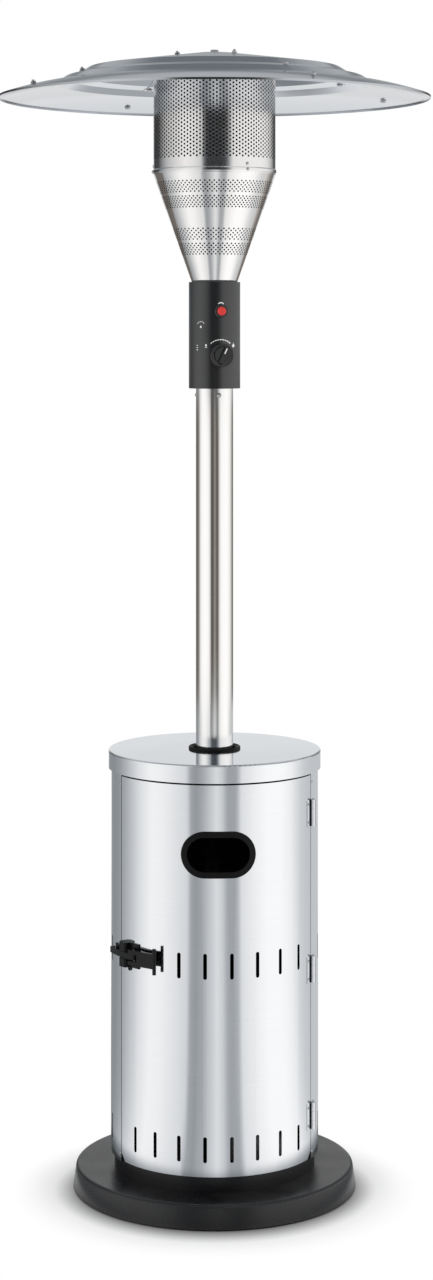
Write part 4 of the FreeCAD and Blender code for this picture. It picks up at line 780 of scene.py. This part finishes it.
class HEATER_OT_burner_cone(bpy.types.Operator):
    """Makes the cone under the emitter with its four pierced bands"""
    bl_idname = "heater.burner_cone"
    bl_label = "Burner cone"

    def execute(self, context):
        sizes = context.scene.heater_sizes
        low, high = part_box("cone_shroud")
        steel = FINISHES["screen_steel"]
        gauge = sizes.sheet_gauge
        foot = CONE_FOOT_RADIUS
        run = Vector((high.x - foot, high.z - gauge - low.z))
        slope = math.atan2(run.x, run.y)
        unit = run.normalized()
        band = (sizes.cone_rows + 0.5) * sizes.cone_pitch

        def at(along):
            return foot + unit.x * along, low.z + unit.y * along

        def behind(spot):
            back = gauge + sizes.gauze_gap
            return spot[0] - back * math.cos(slope), spot[1] + back * math.sin(slope)

        parts, gauzes, reached = [], [], 0.0
        lows, highs = sizes.cone_low_columns, sizes.cone_high_columns
        for start, columns in zip(CONE_BANDS, (lows, lows, highs, highs)):
            parts.append(plain_ring(gauge, slope, at(reached), at(start), columns))
            ends = (at(start)[0], at(start + band)[0])
            parts.append(pierced_band(columns, sizes.cone_rows, sizes.cone_pitch,
                                      sizes.cone_hole, gauge, ends, at(start)[1], slope, steel))
            gauzes.append(plain_ring(sizes.gauze_gauge, slope, behind(at(start)),
                                     behind(at(start + band)), columns))
            reached = start + band
        parts.append(plain_ring(gauge, slope, at(reached), at(run.length), columns))
        bore = MIXER_BORE
        parts.append(lathe([(bore, low.z), (foot, low.z), (foot, low.z + gauge),
                            (bore, low.z + gauge)], 96))
        inner = high.x - CONE_FLANGE
        parts.append(lathe([(inner, high.z - gauge), (high.x, high.z - gauge),
                            (high.x, high.z), (inner, high.z)], columns))
        pierced_piece("cone", parts, gauzes, "cone_shroud")
        return {"FINISHED"}


def dish_height(radius):
    """Height of the dish's upper skin over a radius, from the profile of its panels."""
    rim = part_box("reflector_panel_front")[0].z + DISH_LIP
    for (wide, under), (near, over) in zip(DISH_PROFILE, DISH_PROFILE[1:]):
        if near <= radius <= wide:
            share = (wide - radius) / (wide - near)
            bow = DISH_BOW * math.sin(math.pi * share) if under == 0 else 0.0
            slope = (over - under) / (wide - near)
            return rim + under + (over - under) * share + bow, slope
    return rim, 0.0


class HEATER_OT_seam_bolts(bpy.types.Operator):
    """Sets the bolts that hold the dish's panels together along their seams"""
    bl_idname = "heater.seam_bolts"
    bl_label = "Seam bolts"

    def execute(self, context):
        sizes = context.scene.heater_sizes
        flat, rise = sizes.bolt_radius, sizes.bolt_rise
        over, under = [], []
        for seam in range(4):
            angle = math.radians(SEAM_TURN + 90 * seam)
            for radius in SEAM_BOLTS:
                height, slope = dish_height(radius)
                out = Vector((math.cos(angle), math.sin(angle), 0))
                normal = (out * slope + Vector((0, 0, 1))).normalized()
                spot = out * radius + Vector((0, 0, height))
                over.append((spot, normal))
                under.append((spot - normal * BOLT_GRIP, -normal))
        nut = merged("nut", [
            lathe([(0.0, 0.0), (flat * 1.35, 0.0), (flat * 1.35, 0.0007),
                   (flat * 1.1, 0.0011), (0.0, 0.0011)], 20),
            prism(polygon(flat, 6), 0.0009, rise * 0.62, bevel=0.0004),
            lathe([(0.0, 0.001), (flat * 0.5, 0.001), (flat * 0.5, rise - 0.0006),
                   (flat * 0.4, rise), (0.0, rise)], 14)])
        head = merged("head", [
            lathe([(0.0, 0.0), (flat * 1.3, 0.0), (flat * 1.3, 0.0007), (0.0, 0.0007)], 20),
            lathe([(0.0, 0.0006), (flat, 0.0006), (flat * 0.97, rise * 0.22),
                   (flat * 0.75, rise * 0.4), (flat * 0.35, rise * 0.47), (0.0, rise * 0.48)],
                  20)])
        steel = FINISHES["plain_steel"]
        for name, shape, places in (("seam_nuts", nut, over), ("seam_heads", head, under)):
            fasteners(name, shape, places, steel, "stand")
        return {"FINISHED"}


def dome(radius, rise):
    """A rivet head over the origin, with a short neck below."""
    profile = [(0.0, -0.0004), (radius, -0.0004), (radius, rise * 0.15)]
    profile += [(radius * math.cos(math.radians(part)), rise * math.sin(math.radians(part)))
                for part in (20, 40, 60, 75)]
    return lathe(profile + [(0.0, rise)], 20)


class HEATER_OT_rivets(bpy.types.Operator):
    """Sets the rivets of the bead ring, the screen and the housing seams"""
    bl_idname = "heater.rivets"
    bl_label = "Rivets"

    def execute(self, context):
        sizes = context.scene.heater_sizes
        radius = sizes.rivet_radius
        screen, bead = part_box("emitter_screen")[1].x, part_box("bead_ring")
        pairs, seams = [], []
        for step in range(3):
            angle = math.radians(RIVET_TURN + 120 * step)
            out = turned_point(1, angle, 0)
            pairs.append((turned_point(screen, angle, bead[1].z + RIVET_OVER_BEAD), out))
            pairs.append((turned_point(bead[1].x, angle, (bead[0].z + bead[1].z) / 2), out))
        for side in (-1, 1):
            angle = math.radians(side * (SEAM_FROM_FRONT + SEAM_RIVET_TURN))
            seams += [(turned_point(WALL_RADIUS, angle, height), turned_point(1, angle, 0))
                      for height in SEAM_RIVETS]
        steel = FINISHES["plain_steel"]
        fasteners("screen_rivets", dome(radius, RIVET_DOME), pairs, steel, "stand")
        fasteners("seam_rivets", dome(radius * 0.9, SEAM_RIVET_DOME), seams, steel, "stand")
        return {"FINISHED"}


def curved_mark(outline, radius, gauge, height, turn_by):
    """A flat outline of (across, up) points laid on an upright cylinder as a thin plate."""
    made = between_outlines(*(
        [turned_point(radius + depth, turn_by + across / radius, height + up)
         for across, up in outline] for depth in (0.0, gauge)))
    bmesh.ops.recalc_face_normals(made, faces=made.faces)
    return made


def arc_dash(radius, width, start, end, parts=4):
    """A dash of a ring about the origin, between two clock angles from straight up."""
    turns = [math.radians(start + (end - start) * part / parts) for part in range(parts + 1)]
    return [(reach * math.sin(turned), reach * math.cos(turned))
            for reach, order in ((radius + width / 2, turns), (radius - width / 2, turns[::-1]))
            for turned in order]


def flame(size, across, up):
    """A small flame outline."""
    shape = [(0, -0.5), (0.26, -0.42), (0.38, -0.18), (0.33, 0.06), (0.2, 0.22), (0.13, 0.1),
             (0.06, 0.34), (-0.08, 0.56), (-0.06, 0.28), (-0.22, 0.12), (-0.36, -0.1),
             (-0.33, -0.34), (-0.2, -0.46)]
    return [(across + x * size, up + y * size) for x, y in shape]


class HEATER_OT_printed_marks(bpy.types.Operator):
    """Prints the generic scale round the knob and the sign over the igniter"""
    bl_idname = "heater.printed_marks"
    bl_label = "Printed marks"

    def execute(self, context):
        sizes = context.scene.heater_sizes
        low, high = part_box("control_housing")
        radius = (high.x - low.x) / 2 + 0.00002
        facing = math.radians(HEAD_TURN)
        knob, button = KNOB_HEIGHT, BUTTON_HEIGHT
        marks = []

        def mark(outline, height, across=0.0):
            outline = [(x + across, up) for x, up in outline]
            marks.append(curved_mark(outline, radius, sizes.mark_gauge, height, facing))

        for step in range(SCALE_DASHES):
            start = SCALE_START + SCALE_STEP * step
            mark(arc_dash(SCALE_RADIUS, SCALE_WIDTH + SCALE_GROWTH * step, start,
                          start + SCALE_DASH), knob)
        mark(flame(0.0052, -0.0290, 0.0198), knob)
        mark([(-0.0312, 0.0146), (-0.0268, 0.0146), (-0.0268, 0.0156), (-0.0312, 0.0156)], knob)
        mark(flame(0.0088, 0.0276, 0.0196), knob)
        mark(arc_dash(0.0062, 0.0020, -58, 58), button + 0.0100)
        for step in range(5):
            mark(arc_dash(0.0085, 0.0011, -64 + 26 * step, -48 + 26 * step, parts=2),
                 knob + 0.0560, SIDE_MARKS)
        mark(flame(0.0050, SIDE_MARKS, 0.0548), knob)
        for step in range(3):
            mark([(-0.0500, 0.0100 + 0.0042 * step), (-0.0466, 0.0100 + 0.0042 * step),
                  (-0.0466, 0.0112 + 0.0042 * step), (-0.0500, 0.0112 + 0.0042 * step)], knob)
        mesh = merged("marks", marks)
        finished("printed_marks", mesh, FINISHES["print"], "stand", sharp=30)
        return {"FINISHED"}


class HEATER_OT_knob_pointer(bpy.types.Operator):
    """Lays the white pointer on the knob's grip"""
    bl_idname = "heater.knob_pointer"
    bl_label = "Knob pointer"

    def execute(self, context):
        out = turned_point(1, math.radians(HEAD_TURN), 0)
        line = prism([(-0.0009, 0.0035), (0.0009, 0.0035), (0.0009, 0.0146), (-0.0009, 0.0146)],
                     -0.0002, 0.00015)
        line.transform(Matrix.Rotation(math.radians(-POINTER_TURN), 4, "Z"))
        facing = Matrix((Vector((-out.y, out.x, 0)), Vector((0, 0, 1)), out)).transposed()
        line.transform(Matrix.Translation(Vector((0, 0, KNOB_HEIGHT)) + out * KNOB_FRONT)
                       @ facing.to_4x4())
        bmesh.ops.recalc_face_normals(line, faces=line.faces)
        finished("knob_pointer", as_mesh(line, "pointer"), FINISHES["print"], "knob")
        return {"FINISHED"}


def carved(mesh, tool):
    """A mesh with another cut out of it, as a bmesh."""
    piece, cutter = placed("piece", mesh), placed("cutter", tool)
    cut = piece.modifiers.new("Cut", "BOOLEAN")
    cut.object = cutter
    cut.solver = "EXACT"
    ready = bpy.context.evaluated_depsgraph_get()
    plain = bpy.data.meshes.new_from_object(piece.evaluated_get(ready))
    for thing in (piece, cutter):
        bpy.data.objects.remove(thing)
    made = bmesh.new()
    made.from_mesh(plain)
    bpy.data.meshes.remove(plain)
    return made


def cross_head(radius, rise):
    """A pan-head screw, head up, with a cross recess cut into it."""
    made = lathe([(0.0, -0.0005), (radius, -0.0005), (radius, rise * 0.45),
                  (radius * 0.82, rise * 0.85), (radius * 0.55, rise), (0.0, rise)], 24)
    arm, half, floor = radius * 0.6, radius * 0.16, rise * 0.5
    cross = [(arm, -half), (arm, half), (half, half), (half, arm), (-half, arm),
             (-half, half), (-arm, half), (-arm, -half), (-half, -half), (-half, -arm),
             (half, -arm), (half, -half)]
    tool = as_mesh(prism(cross, floor, rise * 1.5), "cross")
    return carved(as_mesh(made, "head"), tool)


class HEATER_OT_hinge_screws(bpy.types.Operator):
    """Sets two screws in each leaf of the door's hinges"""
    bl_idname = "heater.hinge_screws"
    bl_label = "Hinge screws"

    def execute(self, context):
        on_door, on_shell = [], []
        for name in ("high", "middle", "low"):
            low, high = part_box("door_hinge_" + name)
            middle = (low.z + high.z) / 2
            for lift in (-HINGE_SCREW_LIFT, HINGE_SCREW_LIFT):
                for side, places in ((-1, on_door), (1, on_shell)):
                    angle = math.radians(SEAM_FROM_FRONT + side * HINGE_SCREW_TURN)
                    places.append((turned_point(WALL_RADIUS + LEAF_GAUGE, angle, middle + lift),
                                   turned_point(1, angle, 0)))
        for body, places in (("door", on_door), ("stand", on_shell)):
            name = "door_hinge_screws" if body == "door" else "shell_hinge_screws"
            fasteners(name, cross_head(*HINGE_SCREW), places, FINISHES["plain_steel"], body)
        return {"FINISHED"}


def glow_at(table, turned):
    """Brightness at a turn from the front, in degrees, between the table's entries."""
    for (one, start), (two, end) in zip(table, table[1:]):
        if one <= turned <= two:
            return start + (end - start) * (turned - one) / (two - one)
    raise ValueError("no brightness at %s degrees" % turned)


def glowing_drum(name, rings, steps):
    """A drum round the heater that only reflections see, lit and tinted ring by ring."""
    corners, glows = [], []
    for reach, height, table, share, cool in rings:
        for step in range(steps):
            turned = 360 * step / steps - 180
            corners.append(turned_point(reach, math.radians(turned), height))
            level = glow_at(table, turned) * share
            glows += [level ** (1 + cool), level, level ** (1 - cool), 1.0]
    faces = [(row * steps + step, row * steps + (step + 1) % steps,
              (row + 1) * steps + (step + 1) % steps, (row + 1) * steps + step)
             for row in range(len(rings) - 1) for step in range(steps)]
    mesh = bpy.data.meshes.new(name)
    mesh.from_pydata(corners, [], faces)
    mesh.attributes.new("glow", "FLOAT_COLOR", "POINT").data.foreach_set("color", glows)
    material = bpy.data.materials.new(name)
    bench = emptied(material)
    level = bench.add("ShaderNodeAttribute", attribute_name="glow").outputs["Color"]
    glow = bench.add("ShaderNodeEmission", {"Color": level, "Strength": 1.0})
    bench.add("ShaderNodeOutputMaterial", {0: glow.outputs[0]})
    mesh.materials.append(material)
    made = placed(name, mesh)
    for ray in ("camera", "diffuse", "transmission", "volume_scatter", "shadow"):
        setattr(made, "visible_" + ray, False)
    return made


def soft_lamp(name, spot, aim, size, watts):
    lamp = bpy.data.lights.new(name, "AREA")
    lamp.shape = "RECTANGLE"
    lamp.size, lamp.size_y = size
    lamp.energy = watts
    made = placed(name, lamp)
    made.location = spot
    made.rotation_euler = (Vector(aim) - Vector(spot)).to_track_quat("-Z", "Y").to_euler()
    made.visible_camera = False
    made.visible_glossy = False
    return made


def seen_directly(bench):
    """1 for what the camera, a reflection or glass sees, 0 for light on a surface."""
    rays = bench.add("ShaderNodeLightPath").outputs
    near = bench.maths("MAXIMUM", rays["Is Camera Ray"], rays["Is Glossy Ray"])
    return bench.maths("MAXIMUM", near, rays["Is Transmission Ray"])


class HEATER_OT_studio(bpy.types.Operator):
    """Makes the floor, the light and the camera"""
    bl_idname = "heater.studio"
    bl_label = "Studio"

    def execute(self, context):
        tones = context.scene.heater_colours
        self.floor(tones.floor)
        self.world()
        glowing_drum("surround", DRUM, DRUM_STEPS)
        for name, spot, size, watts in LAMPS:
            soft_lamp(name, spot, LAMP_AIM, size, watts)
        self.camera()
        context.scene.view_settings.view_transform = "Standard"
        return {"FINISHED"}

    def floor(self, shade):
        mesh = as_mesh(lathe([(0.0, 0.0), (2.0, 0.0), (FLOOR_REACH, 0.0)], 64, closed=False),
                       "floor")
        for face in mesh.polygons:
            if face.normal.z < 0:
                mesh.flip_normals()
                break
        material, bench, skin = new_material("Pale floor")
        skin.inputs["Roughness"].default_value = 0.8
        glow = bench.add("ShaderNodeEmission", {"Color": (1, 1, 1, 1), "Strength": 1.0})
        spot = bench.add("ShaderNodeTexCoord").outputs["Object"]
        # Painted shadow: a dark ring under the base, set forward, with the white glow faded in
        # past it
        forward = bench.vectors("ADD", spot, SHADOW_RING_SHIFT)[0]
        away = bench.vectors("LENGTH", forward)["Value"]
        fade = bench.mapped(away, *SHADOW_RING_FADE, interpolation_type="SMOOTHSTEP")
        near = bench.mapped(away, *SHADOW_RING)
        bench.tree.links.new(shades(bench, near, SHADOW, shade), skin.inputs["Base Color"])
        share = bench.times(fade, seen_directly(bench))
        mix = bench.add("ShaderNodeMixShader", {0: share, 1: skin.outputs[0],
                                                2: glow.outputs[0]})
        out = next(node for node in bench.tree.nodes if node.type == "OUTPUT_MATERIAL")
        bench.tree.links.new(mix.outputs[0], out.inputs[0])
        mesh.materials.append(material)
        placed("floor", mesh)

    def world(self):
        world = bpy.data.worlds.new("Studio")
        bpy.context.scene.world = world
        bench = emptied(world)
        level = bench.mapped(seen_directly(bench), 0.0, 1.0, WORLD_LIGHT)
        sky = bench.add("ShaderNodeBackground", {"Color": (1, 1, 1, 1), "Strength": level})
        bench.add("ShaderNodeOutputWorld", {0: sky.outputs[0]})

    def camera(self):
        camera = bpy.data.cameras.new("Camera")
        camera.lens = CAMERA_LENS
        camera.sensor_width = 36.0
        camera.shift_y = CAMERA_SHIFT
        camera.clip_end = 200.0
        made = placed("Camera", camera)
        turned = math.radians(CAMERA_TURN)
        aside = Vector((math.cos(turned), math.sin(turned), 0)) * CAMERA_ASIDE
        made.location = turned_point(CAMERA_BACK, turned, CAMERA_HEIGHT) + aside
        made.rotation_euler = (math.radians(90), 0, turned)
        bpy.context.scene.camera = made


OPERATORS = (HEATER_OT_finishes, HEATER_OT_emitter_screen, HEATER_OT_burner_cone,
             HEATER_OT_seam_bolts, HEATER_OT_rivets, HEATER_OT_hinge_screws,
             HEATER_OT_printed_marks, HEATER_OT_knob_pointer, HEATER_OT_studio)


class HEATER_PT_panel(bpy.types.Panel):
    """Lists the steps that dress the heater"""
    bl_idname = "HEATER_PT_panel"
    bl_label = "Patio Heater"
    bl_space_type = "VIEW_3D"
    bl_region_type = "UI"
    bl_category = "Heater"

    def draw(self, context):
        layout = self.layout
        for group in (context.scene.heater_sizes, context.scene.heater_colours):
            box = layout.box()
            for name in group.__annotations__:
                box.prop(group, name)
        for step in OPERATORS:
            layout.operator(step.bl_idname)


CLASSES = (HeaterSizes, HeaterColours, *OPERATORS, HEATER_PT_panel)


def register():
    for made in CLASSES:
        bpy.utils.register_class(made)
    bpy.types.Scene.heater_sizes = bpy.props.PointerProperty(type=HeaterSizes)
    bpy.types.Scene.heater_colours = bpy.props.PointerProperty(type=HeaterColours)


def unregister():
    del bpy.types.Scene.heater_colours
    del bpy.types.Scene.heater_sizes
    for made in reversed(CLASSES):
        bpy.utils.unregister_class(made)


def main():
    register()
    for step in OPERATORS:
        group, action = step.bl_idname.split(".")
        getattr(getattr(bpy.ops, group), action)()


if __name__ == "__main__":
    main()
